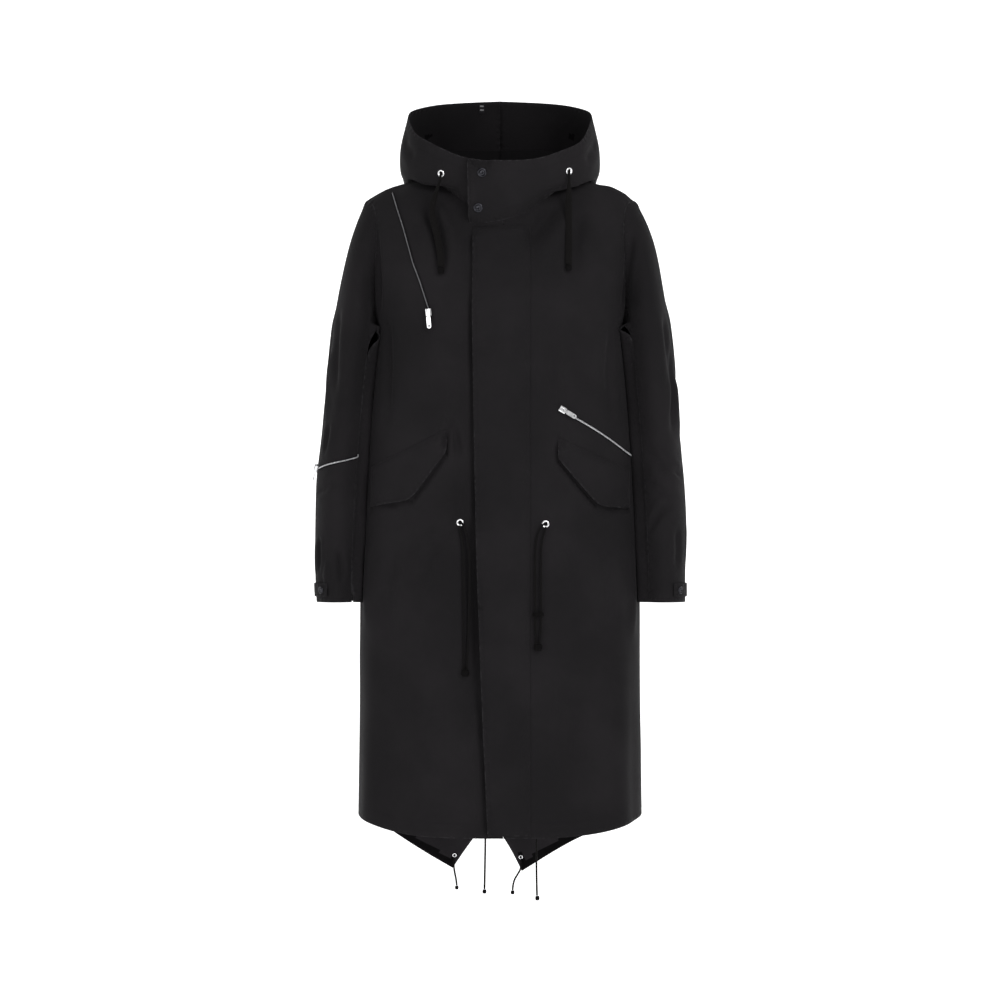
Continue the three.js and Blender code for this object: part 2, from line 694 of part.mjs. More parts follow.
// Places on a sleeve, by height and by turn round it in ring steps (0 outside, 4 in front)
function sleeveFace(sleeveWall, turn, z) {
  const { grid, normals } = sleeveWall;
  let k = 1 + sleeveFan.length;
  while (k < grid.length - 2 && grid[k + 1][0].z > z) k += 1;
  const down = (grid[k][0].z - z) / (grid[k][0].z - grid[k + 1][0].z);
  const m = Math.floor(turn);
  const blend = (field) => {
    const corner = (row, column) => field[row][(column + ringSteps) % ringSteps];
    const high = corner(k, m).clone().lerp(corner(k, m + 1), turn - m);
    return high.lerp(corner(k + 1, m).clone().lerp(corner(k + 1, m + 1), turn - m), down);
  };
  return { point: blend(grid), normal: blend(normals).normalize() };
}

function sleevePiece(name, wall, side, rows, thick, material) {
  const face = (lower) => rows.map((row) => row.map(({ turn, z, lift }) => {
    const { point, normal } = sleeveFace(wall, turn, z);
    return point.addScaledVector(normal, lift - lower);
  }));
  add(name, wallGeometry(face(0), face(thick), side), material);
}

// The zip across the wearer's right forearm
const sleeveZip = { from: 6.5, to: 1.5, high: -434, low: -453 };
sleevePiece('sleeve_zip', sleeveRight, 1, Array.from({ length: 11 }, (_, i) => {
  const turn = mix(sleeveZip.from, sleeveZip.to, i / 10);
  const z = mix(sleeveZip.high, sleeveZip.low, i / 10);
  const place = { turn, lift: laidOn + zipThick };
  return [{ ...place, z: z - zipWidth / 2 }, { ...place, z: z + zipWidth / 2 }];
}), zipThick, zipMaterial());
const sleeveEnd = sleeveFace(sleeveRight, 1.25, -454);
sliderAndPull('sleeve_zip', sleeveEnd.point, sleeveEnd.normal, vec(-0.6, 0.25, -0.76), 19);

// Cuff tabs, round the outside of each cuff, each with a snap
const cuffTab = { from: -1, to: 3, high: -636, low: -657 };
function cuffTabOn(sideName, side, wall) {
  const heights = [cuffTab.high, cuffTab.low];
  const rows = heights.map((z) => Array.from({ length: 9 }, (_, i) => ({
    turn: mix(cuffTab.from, cuffTab.to, i / 8), z, lift: laidOn + cloth,
  })));
  sleevePiece(`cuff_tab_${sideName}`, wall, side, rows, cloth, clothMaterial(blackCloth));
  const spot = sleeveFace(wall, 2.2, (cuffTab.high + cuffTab.low) / 2);
  addRound(`cuff_snap_${sideName}`, snapGeometry(6), darkMetal(), spot, laidOn + cloth + 0.45);
}

// Turned trims, with their axis out of the surface
function addRound(name, geometry, material, { point, normal }, lift) {
  const mesh = add(name, geometry, material);
  mesh.position.copy(point.clone().addScaledVector(normal, lift));
  mesh.quaternion.setFromUnitVectors(vec(0, 1, 0), normal);
}

function snapGeometry(radius) {
  const outline = [[0, 0], [radius, 0], [radius, 1], [radius - 1.3, 2], [radius * 0.55, 1.7],
    [radius * 0.4, 1], [0, 1]];
  return new THREE.LatheGeometry(outline.map(([r, y]) => new THREE.Vector2(r, y)), 14);
}

function eyeletGeometry(radius, hole) {
  const outline = [[hole, 0], [radius, 0], [radius, 0.5], [(radius + hole) / 2, 1.6], [hole + 0.2, 1.3],
    [hole, 0]];
  return new THREE.LatheGeometry(outline.map(([r, y]) => new THREE.Vector2(r, y)), 12);
}

cuffTabOn('right', -1, sleeveRight);
cuffTabOn('left', 1, sleeveLeft);

const onFace = 0.4; // under a round trim on its cloth
addRound('throat_snap_upper', snapGeometry(7.5), darkMetal(), faceAt([hoodLeft], -28.3, 10), onFace);
addRound('throat_snap_lower', snapGeometry(7.5), darkMetal(), faceAt([hoodLeft], -34.5, -45), onFace);

const eyeletRadius = 6;
const eyeletHole = 2.8;
const eyelets = [
  { name: 'hood_eyelet_right', panel: hoodRight, x: -93, z: 11, lift: 0.9 },
  { name: 'hood_eyelet_left', panel: hoodLeft, x: 109, z: 15, lift: 0.9 },
  { name: 'waist_eyelet_right', panel: frontRight, x: -62.3, z: -539.3, lift: 0.4 },
  { name: 'waist_eyelet_left', panel: frontLeft, x: 71.5, z: -541.5, lift: 0.4 },
];
for (const { name, panel, x, z, lift } of eyelets) {
  addRound(name, eyeletGeometry(eyeletRadius, eyeletHole), metal(), faceAt([panel], x, z), lift);
}

// The tails' drawcord eyelets, on their inner faces, which show below the front hem
const tailEyelets = [
  { name: 'tail_eyelet_right', panel: backRight, x: -74.5, z: -1086 },
  { name: 'tail_eyelet_left', panel: backLeft, x: 34, z: -1089 },
];
for (const { name, panel, x, z } of tailEyelets) {
  const { point, normal } = faceAt([panel], x, z);
  const inside = { point: point.addScaledVector(normal, -cloth), normal: normal.negate() };
  addRound(name, eyeletGeometry(3.6, 1.8), metal(), inside, onFace);
}

// A small bare tab inside the hood, at the middle of its back rim
function hoodTab() {
  const place = (column, row, depth) => {
    const { grid, normals } = hoodRight;
    const i = Math.floor(column);
    const j = Math.floor(row);
    const blend = (field) => field[j][i].clone().lerp(field[j][i + 1], column - i)
      .lerp(field[j + 1][i].clone().lerp(field[j + 1][i + 1], column - i), row - j);
    return blend(grid).addScaledVector(blend(normals).normalize(), -depth);
  };
  const face = (depth) => [12.94, 12.78, 12.62].map((row) => (
    [14.37, 14.54].map((column) => place(column, row, depth))
  ));
  add('hood_tab', wallGeometry(face(cloth + 0.6), face(cloth + 1.6), 1), clothMaterial(0x2b2a2d));
}
hoodTab();

// Drawcords: the middle of each cord as it hangs, from where it comes out to its end
const cords = {
  hood_cord_left: {
    wide: 9, thick: 3,
    path: [[109, -89.5, 13], [109, -91.5, 3], [108.8, -92.4, -8], [108.5, -93.4, -22], [108.2, -95.5, -38],
      [108, -99.8, -56], [108, -105, -76], [108, -110.5, -96], [108, -115.5, -116], [107.6, -119.5, -134]],
  },
  hood_cord_right: {
    wide: 9, thick: 3,
    path: [[-93.5, -90, 9], [-95, -92, -1], [-98.5, -92.8, -13], [-103, -94, -27], [-106.5, -97, -43],
      [-106, -101.6, -57], [-103, -106.5, -72], [-99, -111.5, -88], [-95.5, -116.5, -106],
      [-93, -120.5, -122],
      [-92.5, -123.5, -138]],
  },
  waist_cord_left_1: {
    wide: 3.4, thick: 3.4,
    path: [[71.6, -131.5, -546], [69.8, -132.5, -554], [66.8, -133, -564], [65, -133.6, -577],
      [64.3, -134.4, -595],
      [64.2, -135.4, -615], [64.2, -136.4, -637], [64.3, -137.4, -660], [64.4, -138.3, -684],
      [64, -138.8, -706],
      [61.8, -139.2, -728]],
  },
  waist_cord_left_2: {
    wide: 3.4, thick: 3.4,
    path: [[68.6, -131.2, -541.4], [64, -132, -546.5], [59.6, -132.8, -556], [56.4, -133.4, -570],
      [55.2, -134.3, -588],
      [55, -135.3, -609], [55, -136.3, -632], [55, -137.3, -656], [55, -138.3, -684], [55.4, -138.8, -706],
      [56.8, -139.2, -728]],
  },
  waist_cord_right_1: {
    wide: 3.4, thick: 3.4,
    path: [[-63.4, -132, -543.8], [-61.6, -132.8, -553], [-59, -133.2, -566], [-57.4, -133.6, -582],
      [-57, -134.3, -602],
      [-57, -135.1, -625], [-57, -136, -650], [-57, -136.8, -676], [-57, -137.7, -702], [-57, -138.7, -730],
      [-57, -140, -768]],
  },
  waist_cord_right_2: {
    wide: 3.4, thick: 3.4,
    path: [[-59.5, -132, -540], [-55.5, -132.8, -547], [-51.4, -133.4, -560], [-48.8, -134, -577],
      [-47.6, -134.8, -600],
      [-47.4, -135.6, -625], [-47.6, -136.4, -650], [-48.2, -137.3, -676], [-49, -138.2, -702],
      [-50.2, -139.2, -730],
      [-51.8, -140.4, -768]],
  },
  hem_cord_front_right: {
    wide: 3, thick: 3,
    path: [[-22.6, -140.7, -1016], [-22.7, -140.7, -1026], [-22.9, -140.7, -1038], [-23.1, -140.7, -1052],
      [-23.4, -140.7, -1068], [-23.7, -140.7, -1084], [-24, -140.7, -1099], [-24.3, -140.7, -1112]],
  },
  hem_cord_front_left: {
    wide: 3, thick: 3,
    path: [[57, -139.1, -1016], [57, -139.1, -1027], [57, -139.1, -1040], [57, -139.1, -1055],
      [57, -139.1, -1071],
      [57.1, -139.1, -1088], [57.4, -139.1, -1105], [57.8, -139.1, -1122]],
  },
  tail_cord_right: {
    wide: 3, thick: 3,
    path: [[-75, 142.6, -1089], [-75.6, 142.4, -1097], [-75.4, 142.4, -1106], [-74, 142.6, -1115],
      [-72, 142.8, -1125],
      [-70.8, 143, -1135]],
  },
  tail_cord_left: {
    wide: 3, thick: 3,
    path: [[34.2, 142.4, -1092], [34.4, 142.2, -1100], [33.2, 142.2, -1109], [28.8, 142.3, -1117],
      [24.2, 142.4, -1125],
      [21.6, 142.6, -1134], [20.6, 142.8, -1143]],
  },
};

function cordGeometry({ wide, thick, path }) {
  const curve = new THREE.CatmullRomCurve3(path.map((point) => vec(...point)));
  const outline = [];
  for (let i = 0; i < 8; i += 1) {
    const angle = (i + 0.5) * Math.PI / 4;
    const corner = 1 / Math.cos(Math.PI / 8);
    outline.push(new THREE.Vector2(Math.cos(angle) * wide / 2 * corner,
      Math.sin(angle) * thick / 2 * corner));
  }
  const shape = new THREE.Shape(outline);
  const steps = Math.round(curve.getLength() / Math.max(2.6 * thick, 1.2 * wide));
  return new THREE.ExtrudeGeometry(shape, { steps, extrudePath: curve, bevelEnabled: false });
}
const cordMaterial = () => new THREE.MeshStandardMaterial({ color: 0x1c1b1e, roughness: 0.85, metalness: 0 });
for (const [name, cord] of Object.entries(cords)) add(name, cordGeometry(cord), cordMaterial());

// Knots and squared ends below the cords: half-width, half-depth and height
const cordEnds = [
  { name: 'hood_cord_end_left', below: 'hood_cord_left', wide: 5.4, deep: 2.6, high: 10, shift: 0, set: 0 },
  { name: 'hood_cord_end_right', below: 'hood_cord_right', wide: 5.4, deep: 2.6, high: 11, shift: 0,
    set: 0 },
  { name: 'waist_cord_knot_left', below: 'waist_cord_left_1', wide: 7, deep: 4, high: 11, shift: -2.5,
    set: -2.2 },
  { name: 'waist_cord_knot_right', below: 'waist_cord_right_1', wide: 6.6, deep: 4, high: 11, shift: 2.6,
    set: -2.2 },
  { name: 'hem_cord_knot_front_right', below: 'hem_cord_front_right', wide: 3.2, deep: 3, high: 6,
    shift: 0, set: 0 },
  { name: 'hem_cord_knot_front_left', below: 'hem_cord_front_left', wide: 3.4, deep: 3, high: 7,
    shift: 0.6, set: 0 },
  { name: 'tail_cord_knot_right', below: 'tail_cord_right', wide: 3, deep: 2.8, high: 6, shift: 0, set: 0 },
  { name: 'tail_cord_knot_left', below: 'tail_cord_left', wide: 3.2, deep: 2.8, high: 6, shift: 0, set: 0 },
];

function knotGeometry(wide, deep, high) {
  const outline = [[0, 0], [0.72, 0], [1, -0.25], [1, -0.7], [0.7, -1], [0, -1]];
  const geometry = new THREE.LatheGeometry(outline.reverse().map(([r, up]) => new THREE.Vector2(r,
    up * high)), 10);
  geometry.rotateX(Math.PI / 2);
  geometry.scale(wide, deep, 1);
  return geometry;
}
for (const { name, below, wide, deep, high, shift, set } of cordEnds) {
  const { path } = cords[below];
  const [x, y, z] = path[path.length - 1];
  add(name, knotGeometry(wide, deep, high), cordMaterial()).position.set(x + shift, y + set, z - 0.7);
}

// The band that gathers the two strands of the left waist cord
function cordBand() {
  const shape = new THREE.Shape();
  shape.absellipse(0, 0, 8.8, 4.1, 0, 2 * Math.PI);
  const hole = new THREE.Path();
  hole.absellipse(0, 0, 7.6, 3.1, 0, 2 * Math.PI);
  shape.holes.push(hole);
  const band = new THREE.ExtrudeGeometry(shape, { depth: 6, bevelEnabled: false, curveSegments: 8 });
  add('waist_cord_band', band, cordMaterial()).position.set(59.7, -138.3, -686);
}
cordBand();

export default parka;
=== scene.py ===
import math

import bmesh
import bpy
import numpy as np
from mathutils import Matrix, Vector
from mathutils.bvhtree import BVHTree
from mathutils.kdtree import KDTree


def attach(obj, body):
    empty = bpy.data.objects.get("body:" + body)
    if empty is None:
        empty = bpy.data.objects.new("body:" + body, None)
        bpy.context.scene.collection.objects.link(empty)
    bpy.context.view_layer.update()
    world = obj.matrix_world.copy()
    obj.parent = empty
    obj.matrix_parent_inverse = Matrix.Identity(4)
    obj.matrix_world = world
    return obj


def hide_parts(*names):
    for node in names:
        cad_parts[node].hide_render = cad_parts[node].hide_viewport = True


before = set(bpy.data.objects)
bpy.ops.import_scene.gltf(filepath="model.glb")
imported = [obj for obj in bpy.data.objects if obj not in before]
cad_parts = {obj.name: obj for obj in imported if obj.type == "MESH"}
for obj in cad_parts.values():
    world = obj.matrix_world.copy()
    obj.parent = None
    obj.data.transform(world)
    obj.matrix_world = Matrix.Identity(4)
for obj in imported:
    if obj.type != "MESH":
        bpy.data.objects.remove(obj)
scene = bpy.context.scene
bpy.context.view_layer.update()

# Camera: level, in front of the coat, at the photograph's view
camera = {"place": (0, -6.0, -0.504), "lens": 135, "sensor": 36}
cameraData = bpy.data.cameras.new("camera")
cameraData.lens = camera["lens"]
cameraData.sensor_width = camera["sensor"]
cameraObject = bpy.data.objects.new("camera", cameraData)
cameraObject.location = camera["place"]
cameraObject.rotation_euler = (math.pi / 2, 0, 0)
scene.collection.objects.link(cameraObject)
scene.camera = cameraObject
scene.view_settings.view_transform = "Standard"
scene.view_settings.look = "None"
print("camera is set")


# Node helpers
class Shader:
    def __init__(self, name):
        self.material = bpy.data.materials.new(name)
        self.material.use_nodes = True
        self.tree = self.material.node_tree
        self.surface = self.tree.nodes["Principled BSDF"]

    def node(self, kind, **values):
        made = self.tree.nodes.new(kind)
        for key, value in values.items():
            setattr(made, key, value)
        return made

    def link(self, start, end):
        self.tree.links.new(start, end)

    def put(self, socket, value):
        if isinstance(value, bpy.types.NodeSocket):
            self.link(value, socket)
        else:
            socket.default_value = value

    def math(self, operation, first, second=0.0, third=0.0):
        made = self.node("ShaderNodeMath", operation=operation)
        for socket, value in zip(made.inputs, (first, second, third)):
            self.put(socket, value)
        return made.outputs[0]

    def noise(self, scale, detail, stretch=(1, 1, 1)):
        made = self.node("ShaderNodeTexNoise")
        made.inputs["Scale"].default_value = scale
        made.inputs["Detail"].default_value = detail
        mapping = self.node("ShaderNodeMapping")
        mapping.inputs["Scale"].default_value = stretch
        self.link(self.node("ShaderNodeTexCoord").outputs["Object"], mapping.inputs["Vector"])
        self.link(mapping.outputs["Vector"], made.inputs["Vector"])
        return made.outputs["Fac"]

    def attribute(self, name):
        return self.node("ShaderNodeAttribute", attribute_name=name).outputs["Fac"]

    def between(self, value, low, high, atLow=0.0, atHigh=1.0):
        made = self.node("ShaderNodeMapRange", interpolation_type="SMOOTHSTEP")
        for socket, number in zip(made.inputs, (value, low, high, atLow, atHigh)):
            self.put(socket, number)
        return made.outputs[0]

    def blend(self, share, first, second):
        made = self.node("ShaderNodeMix", data_type="RGBA")
        self.put(made.inputs[0], share)
        self.put(made.inputs[6], first)
        self.put(made.inputs[7], second)
        return made.outputs[2]

    def bump(self, height, distance, strength=1.0, below=None):
        made = self.node("ShaderNodeBump")
        made.inputs["Strength"].default_value = strength
        made.inputs["Distance"].default_value = distance
        self.link(height, made.inputs["Height"])
        if below is not None:
            self.link(below, made.inputs["Normal"])
        return made.outputs["Normal"]

    def cutPlace(self):
        split = self.node("ShaderNodeSeparateXYZ")
        self.link(self.node("ShaderNodeUVMap", uv_map="cut").outputs["UV"], split.inputs[0])
        return split.outputs[0], split.outputs[1]

    def finish(self, base, **values):
        self.put(self.surface.inputs["Base Color"], base)
        for title, value in values.items():
            self.put(self.surface.inputs[title.replace("_", " ")], value)
        return self.material


def colour(red, green, blue):
    return (red, green, blue, 1.0)


def shaded(tone, share):
    return tuple(channel * share for channel in tone[:3]) + (1.0,)


# Matt cotton: a fine twill, pale worn edges, puckers along the seams and a faint mottle
cottonLook = {
    "dark": colour(0.0054, 0.0048, 0.0055), "light": colour(0.0084, 0.0074, 0.0084),
    "worn": colour(0.022, 0.021, 0.023), "wear": 0.7, "twill": 0.0011, "pucker": 0.012,
    "puckerDepth": 0.0007,
}


def cottonMaterial(name, look, shade=1.0):
    shader = Shader(name)
    gap = shader.attribute("edgeGap")
    run = shader.attribute("edgeRun")
    across, along = shader.cutPlace()
    turns = 2 * math.pi / look["twill"]
    ribs = shader.math("SINE", shader.math("MULTIPLY", shader.math("ADD", across, along), turns))
    threads = shader.math("SINE", shader.math("MULTIPLY", along, turns * 1.7))
    weave = shader.math("ADD", ribs, shader.math("MULTIPLY", threads, 0.4))
    uneven = shader.noise(26, 2.0)
    puckerTurns = shader.math("MULTIPLY", run, 2 * math.pi / look["pucker"])
    waves = shader.math("SINE", shader.math("MULTIPLY_ADD", uneven, 9.0, puckerTurns))
    near = shader.between(gap, 0.002, 0.011, 1.0, 0.0)
    puckers = shader.math("MULTIPLY", waves, shader.math("MULTIPLY", near, uneven))
    normal = shader.bump(shader.noise(11, 4.0, stretch=(1, 1, 0.6)), 0.006, 0.35)
    normal = shader.bump(puckers, look["puckerDepth"], 0.9, normal)
    normal = shader.bump(weave, 0.00006, 0.6, normal)
    mottle = shader.between(shader.noise(7.5, 4.0), 0.35, 0.7)
    base = shader.blend(mottle, shaded(look["dark"], shade), shaded(look["light"], shade))
    speckle = shader.between(shader.noise(150, 2.0), 0.42, 0.66)
    edge = shader.math("MULTIPLY", shader.between(gap, 0.0002, 0.0022, 1.0, 0.0), speckle)
    base = shader.blend(shader.math("MULTIPLY", edge, look["wear"]), base, shaded(look["worn"], shade))
    return shader.finish(
        base, Normal=normal, Roughness=0.88, Specular_IOR_Level=0.13, Sheen_Weight=0.022,
        Sheen_Roughness=0.42, Sheen_Tint=colour(0.86, 0.84, 0.88))


def braidMaterial(name, dark, light, strands):
    shader = Shader(name)
    across, along = shader.cutPlace()
    turn = shader.math("MULTIPLY", across, 2 * math.pi * strands)
    rise = shader.math("MULTIPLY", along, 2 * math.pi / 0.0032)
    left = shader.math("SINE", shader.math("ADD", turn, rise))
    right = shader.math("SINE", shader.math("SUBTRACT", turn, rise))
    weave = shader.math("MAXIMUM", left, right)
    return shader.finish(
        shader.blend(shader.between(weave, -0.2, 1.0), dark, light), Normal=shader.bump(weave, 0.00035, 0.8),
        Roughness=0.85, Specular_IOR_Level=0.1, Sheen_Weight=0.008)


def metalMaterial(name, tone, rough, wear):
    shader = Shader(name)
    streaks = shader.between(shader.noise(420, 3.0, stretch=(1, 1, 0.25)), 0.3, 0.7)
    return shader.finish(
        shader.blend(streaks, shaded(tone, wear), tone), Normal=shader.bump(streaks, 0.00003, 0.3),
        Roughness=shader.math("MULTIPLY_ADD", streaks, 0.08, rough), Metallic=1.0, Coat_Roughness=0.2)


def plainMaterial(name, tone, rough):
    shader = Shader(name)
    grain = shader.between(shader.noise(90, 2.0), 0.3, 0.7)
    return shader.finish(
        shader.blend(grain, shaded(tone, 0.8), tone), Roughness=rough, Specular_IOR_Level=0.06)


cotton = cottonMaterial("cotton", cottonLook)
# A copy of the cotton twice as light: painted light for the inside of the tails
cottonLightPaint = cottonMaterial("cotton painted light", cottonLook, shade=2.0)
threadMaterial = plainMaterial("thread", colour(0.009, 0.0082, 0.0092), 0.8)
cordDark = braidMaterial("cord braid", colour(0.0012, 0.001, 0.0011), colour(0.0042, 0.0036, 0.0038), 6)
cordFlat = braidMaterial("flat cord braid", colour(0.0012, 0.001, 0.001), colour(0.0036, 0.003, 0.003), 9)
silver = metalMaterial("silver metal", colour(0.86, 0.86, 0.87), 0.16, 0.8)
gunmetal = metalMaterial("gunmetal", colour(0.04, 0.04, 0.046), 0.2, 0.4)
zipMetal = metalMaterial("zip teeth metal", colour(0.66, 0.66, 0.68), 0.3, 0.75)
zipDull = metalMaterial("dull zip teeth metal", colour(0.2, 0.2, 0.21), 0.38, 0.7)
tapeMaterial = plainMaterial("zip tape", colour(0.007, 0.0066, 0.0072), 0.85)
# Painted shade: a flat dark disc across each eyelet's hole stands for its shadowed inside
holeShadePaint = plainMaterial("eyelet hole painted shade", colour(0.003, 0.003, 0.003), 0.9)
barMaterial = plainMaterial("pale woven bar", colour(0.2, 0.2, 0.205), 0.8)
# Painted shade: a darker cloth for the shadowed strip along the tails' outer hem and the inside of the hood's
# neck
darkShadePaint = plainMaterial("painted shade cloth", colour(0.003, 0.0027, 0.0031), 0.9)
print("materials are made")


# Meshes
def newObject(name, mesh, materials):
    made = bpy.data.objects.new(name, mesh)
    scene.collection.objects.link(made)
    for material in materials:
        mesh.materials.append(material)
    return made


def solidMesh(name, vertices, faces):
    mesh = bpy.data.meshes.new(name)
    mesh.from_pydata([tuple(v) for v in vertices], [], faces)
    bm = bmesh.new()
    bm.from_mesh(mesh)
    bmesh.ops.recalc_face_normals(bm, faces=bm.faces)
    bm.to_mesh(mesh)
    bm.free()
    return mesh


def finished(made, name):
    graph = bpy.context.evaluated_depsgraph_get()
    mesh = bpy.data.meshes.new_from_object(made.evaluated_get(graph))
    mesh.name = name
    made.modifiers.clear()
    made.data = mesh
    return mesh


def vertexValues(mesh, title):
    values = np.empty(len(mesh.vertices) * 3)
    mesh.vertices.foreach_get(title, values)
    return values.reshape(-1, 3)


def setPoints(mesh, points):
    mesh.vertices.foreach_set("co", points.astype(np.float32).ravel())
    mesh.update()


def smoothFaces(mesh):
    mesh.polygons.foreach_set("use_smooth", np.ones(len(mesh.polygons), dtype=bool))


def storeFloats(mesh, name, values):
    layer = mesh.attributes.new(name, "FLOAT", "POINT")
    layer.data.foreach_set("value", np.asarray(values, dtype=np.float32))


def storeCut(mesh, across, along):
    layer = mesh.uv_layers.new(name="cut")
    corners = np.empty(len(mesh.loops), dtype=np.int32)
    mesh.loops.foreach_get("vertex_index", corners)
    places = np.stack([np.asarray(across)[corners], np.asarray(along)[corners]], axis=1)
    layer.data.foreach_set("uv", places.astype(np.float32).ravel())


def treeOf(mesh):
    return BVHTree.FromPolygons([v.co for v in mesh.vertices], [tuple(p.vertices) for p in mesh.polygons])


def directions(line):
    alongs = np.gradient(line, axis=0)
    return alongs / np.linalg.norm(alongs, axis=1)[:, None]


def runsOf(line):
    return np.concatenate([[0], np.cumsum(np.linalg.norm(np.diff(line, axis=0), axis=1))])


# A made piece hides the imported piece that it stands for and rides on the parka's body
def fitted(made, node):
    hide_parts(node)
    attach(made, "parka")


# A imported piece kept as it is, with softened edges and its own finish
def kept(node, material, edge=None, sharp=40):
    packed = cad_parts[node]
    if edge:
        bevel = packed.modifiers.new("softened edges", "BEVEL")
        bevel.width = edge
        bevel.segments = 3
        bevel.limit_method = "ANGLE"
        bevel.angle_limit = math.radians(sharp)
    packed.data.materials.clear()
    packed.data.materials.append(material)
    return packed


# The outer face of a packed cloth wall, as quads: the narrow faces round its rim come off, and of the
# two sheets left the one that faces away from the middle is kept
def outerSheet(node, middle, wall=0.0023):
    bm = bmesh.new()
    bm.from_mesh(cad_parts[node].data)
    bmesh.ops.remove_doubles(bm, verts=bm.verts, dist=2e-5)
    rim = [face for face in bm.faces if min(edge.calc_length() for edge in face.edges) < wall]
    bmesh.ops.delete(bm, geom=rim, context="FACES")
    sheets = []
    seen = set()
    for start in bm.faces:
        if start in seen:
            continue
        seen.add(start)
        sheet = [start]
        for face in sheet:
            for edge in face.edges:
                for other in edge.link_faces:
                    if other not in seen:
                        seen.add(other)
                        sheet.append(other)
        outward = 0.0
        for face in sheet:
            centre = face.calc_center_median()
            outward += face.calc_area() * face.normal.dot(centre - Vector((middle[0], middle[1], centre.z)))
        sheets.append((outward, sheet))
    sheets.sort(key=lambda entry: entry[0])
    outer = set(sheets[-1][1])
    bmesh.ops.delete(bm, geom=[face for face in bm.faces if face not in outer], context="FACES")
    bmesh.ops.join_triangles(
        bm, faces=bm.faces, angle_face_threshold=math.pi, angle_shape_threshold=math.pi)
    mesh = bpy.data.meshes.new(node + "_sheet")
    bm.to_mesh(mesh)
    bm.free()
    return mesh


# The rim of a sheet: its loops of vertices in order
def rimLoops(mesh):
    uses = {}
    for polygon in mesh.polygons:
        for key in polygon.edge_keys:
            uses[key] = uses.get(key, 0) + 1
    beside = {}
    for (first, second), count in uses.items():
        if count == 1:
            beside.setdefault(first, []).append(second)
            beside.setdefault(second, []).append(first)
    loops = []
    while beside:
        start = min(beside)
        loop = [start]
        while True:
            onward = [v for v in beside[loop[-1]] if v not in loop[-2:] and v != start]
            if not onward or onward[0] in loop[-3:]:
                break
            loop.append(onward[0])
        for vertex in loop:
            beside.pop(vertex, None)
        loops.append(loop)
    return [loop for loop in loops if len(loop) > 3]


def edgeFields(rims, points):
    gap = np.full(len(points), 0.5)
    run = np.zeros(len(points))
    nearest = np.zeros(len(points), dtype=int)
    tree = KDTree(sum(len(loop) for loop in rims))
    runs, vertices = [], []
    for loop in rims:
        length = 0.0
        for i, vertex in enumerate(loop):
            if i:
                length += float(np.linalg.norm(points[vertex] - points[loop[i - 1]]))
            tree.insert(points[vertex], len(runs))
            runs.append(length)
            vertices.append(vertex)
    tree.balance()
    for i, point in enumerate(points):
        _, index, distance = tree.find(point)
        gap[i] = distance
        run[i] = runs[index]
        nearest[i] = vertices[index]
    return gap, run, nearest


# Creases: soft troughs (depth below nought) and ridges along lines on the cloth, in millimetres
def creaseField(points, creases):
    field = np.zeros(len(points))
    for crease in creases:
        line = crease["line"]
        width = crease["width"] / 1000
        reach = width * 4
        near = np.all((points > line.min(0) - reach) & (points < line.max(0) + reach), axis=1)
        if not near.any():
            continue
        local = points[near]
        best = np.full(len(local), 9.0)
        along = np.zeros(len(local))
        steps = np.linalg.norm(np.diff(line, axis=0), axis=1)
        total = steps.sum()
        done = 0.0
        for start, end, step in zip(line[:-1], line[1:], steps):
            share = np.clip(((local - start) @ (end - start)) / max(step, 1e-6) ** 2, 0, 1)
            distance = np.linalg.norm(local - start - share[:, None] * (end - start), axis=1)
            closer = distance < best
            best[closer] = distance[closer]
            along[closer] = ((done + share * step) / total)[closer]
            done += step
        head, tail = crease.get("ends", (0.25, 0.35))
        taper = smoothShare(along / head) * smoothShare((1 - along) / tail)
        shape = np.exp(-(best / width) ** 2) - 0.28 * np.exp(-((best - 2.1 * width) / width) ** 2)
        field[near] += crease["depth"] / 1000 * taper * shape
    return field


def smoothShare(value):
    held = np.clip(value, 0, 1)
    return held * held * (3 - 2 * held)


# The cloth's own slight unevenness: long low swells, the same on pieces that lie on one another
def swells(points, depth):
    x, y, z = points.T * 1000
    first = np.sin(x / 19 + 0.6 * np.sin(z / 47)) * np.sin(z / 61 + y / 53 + 1.3)
    second = np.sin(x / 33 - z / 71 + 0.8) * np.sin(y / 29 + z / 38)
    return depth / 1000 * (first + 0.8 * second)


def packedTree(*nodes):
    points, faces = [], []
    for node in nodes:
        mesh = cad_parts[node].data
        faces += [tuple(len(points) + index for index in polygon.vertices) for polygon in mesh.polygons]
        points += [tuple(vertex.co) for vertex in mesh.vertices]
    return BVHTree.FromPolygons(points, faces)


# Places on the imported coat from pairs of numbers: across and height in millimetres, seen from the front
# or the back
def frontLine(tree, line, back=False):
    found = []
    for x, z in line:
        start = Vector((x / 1000, 1.0 if back else -1.0, z / 1000))
        spot = tree.ray_cast(start, Vector((0, -1 if back else 1, 0)))[0]
        if spot is None:
            spot = tree.find_nearest(Vector((x / 1000, 0.05 if back else -0.05, z / 1000)))[0]
        found.append(np.array(spot))
    return np.array(found)


# The same by the turn round a middle, in degrees, and the height
def roundLine(tree, line, middle):
    found = []
    for angle, z in line:
        outward = Vector((math.cos(math.radians(angle)), math.sin(math.radians(angle)), 0))
        centre = Vector((middle[0], middle[1], z / 1000))
        spot = tree.ray_cast(centre + outward * 0.5, -outward)[0]
        if spot is None:
            spot = tree.find_nearest(centre + outward * 0.07)[0]
        found.append(np.array(spot))
    return np.array(found)


def subdivided(node, middle, levels):
    mesh = outerSheet(node, middle)
    made = newObject(node + "_form", mesh, [])
    modifier = made.modifiers.new("round", "SUBSURF")
    modifier.levels = levels
    modifier.render_levels = levels
    modifier.boundary_smooth = "PRESERVE_CORNERS"
    mesh = finished(made, node + "_form")
    smoothFaces(mesh)
    return made, mesh


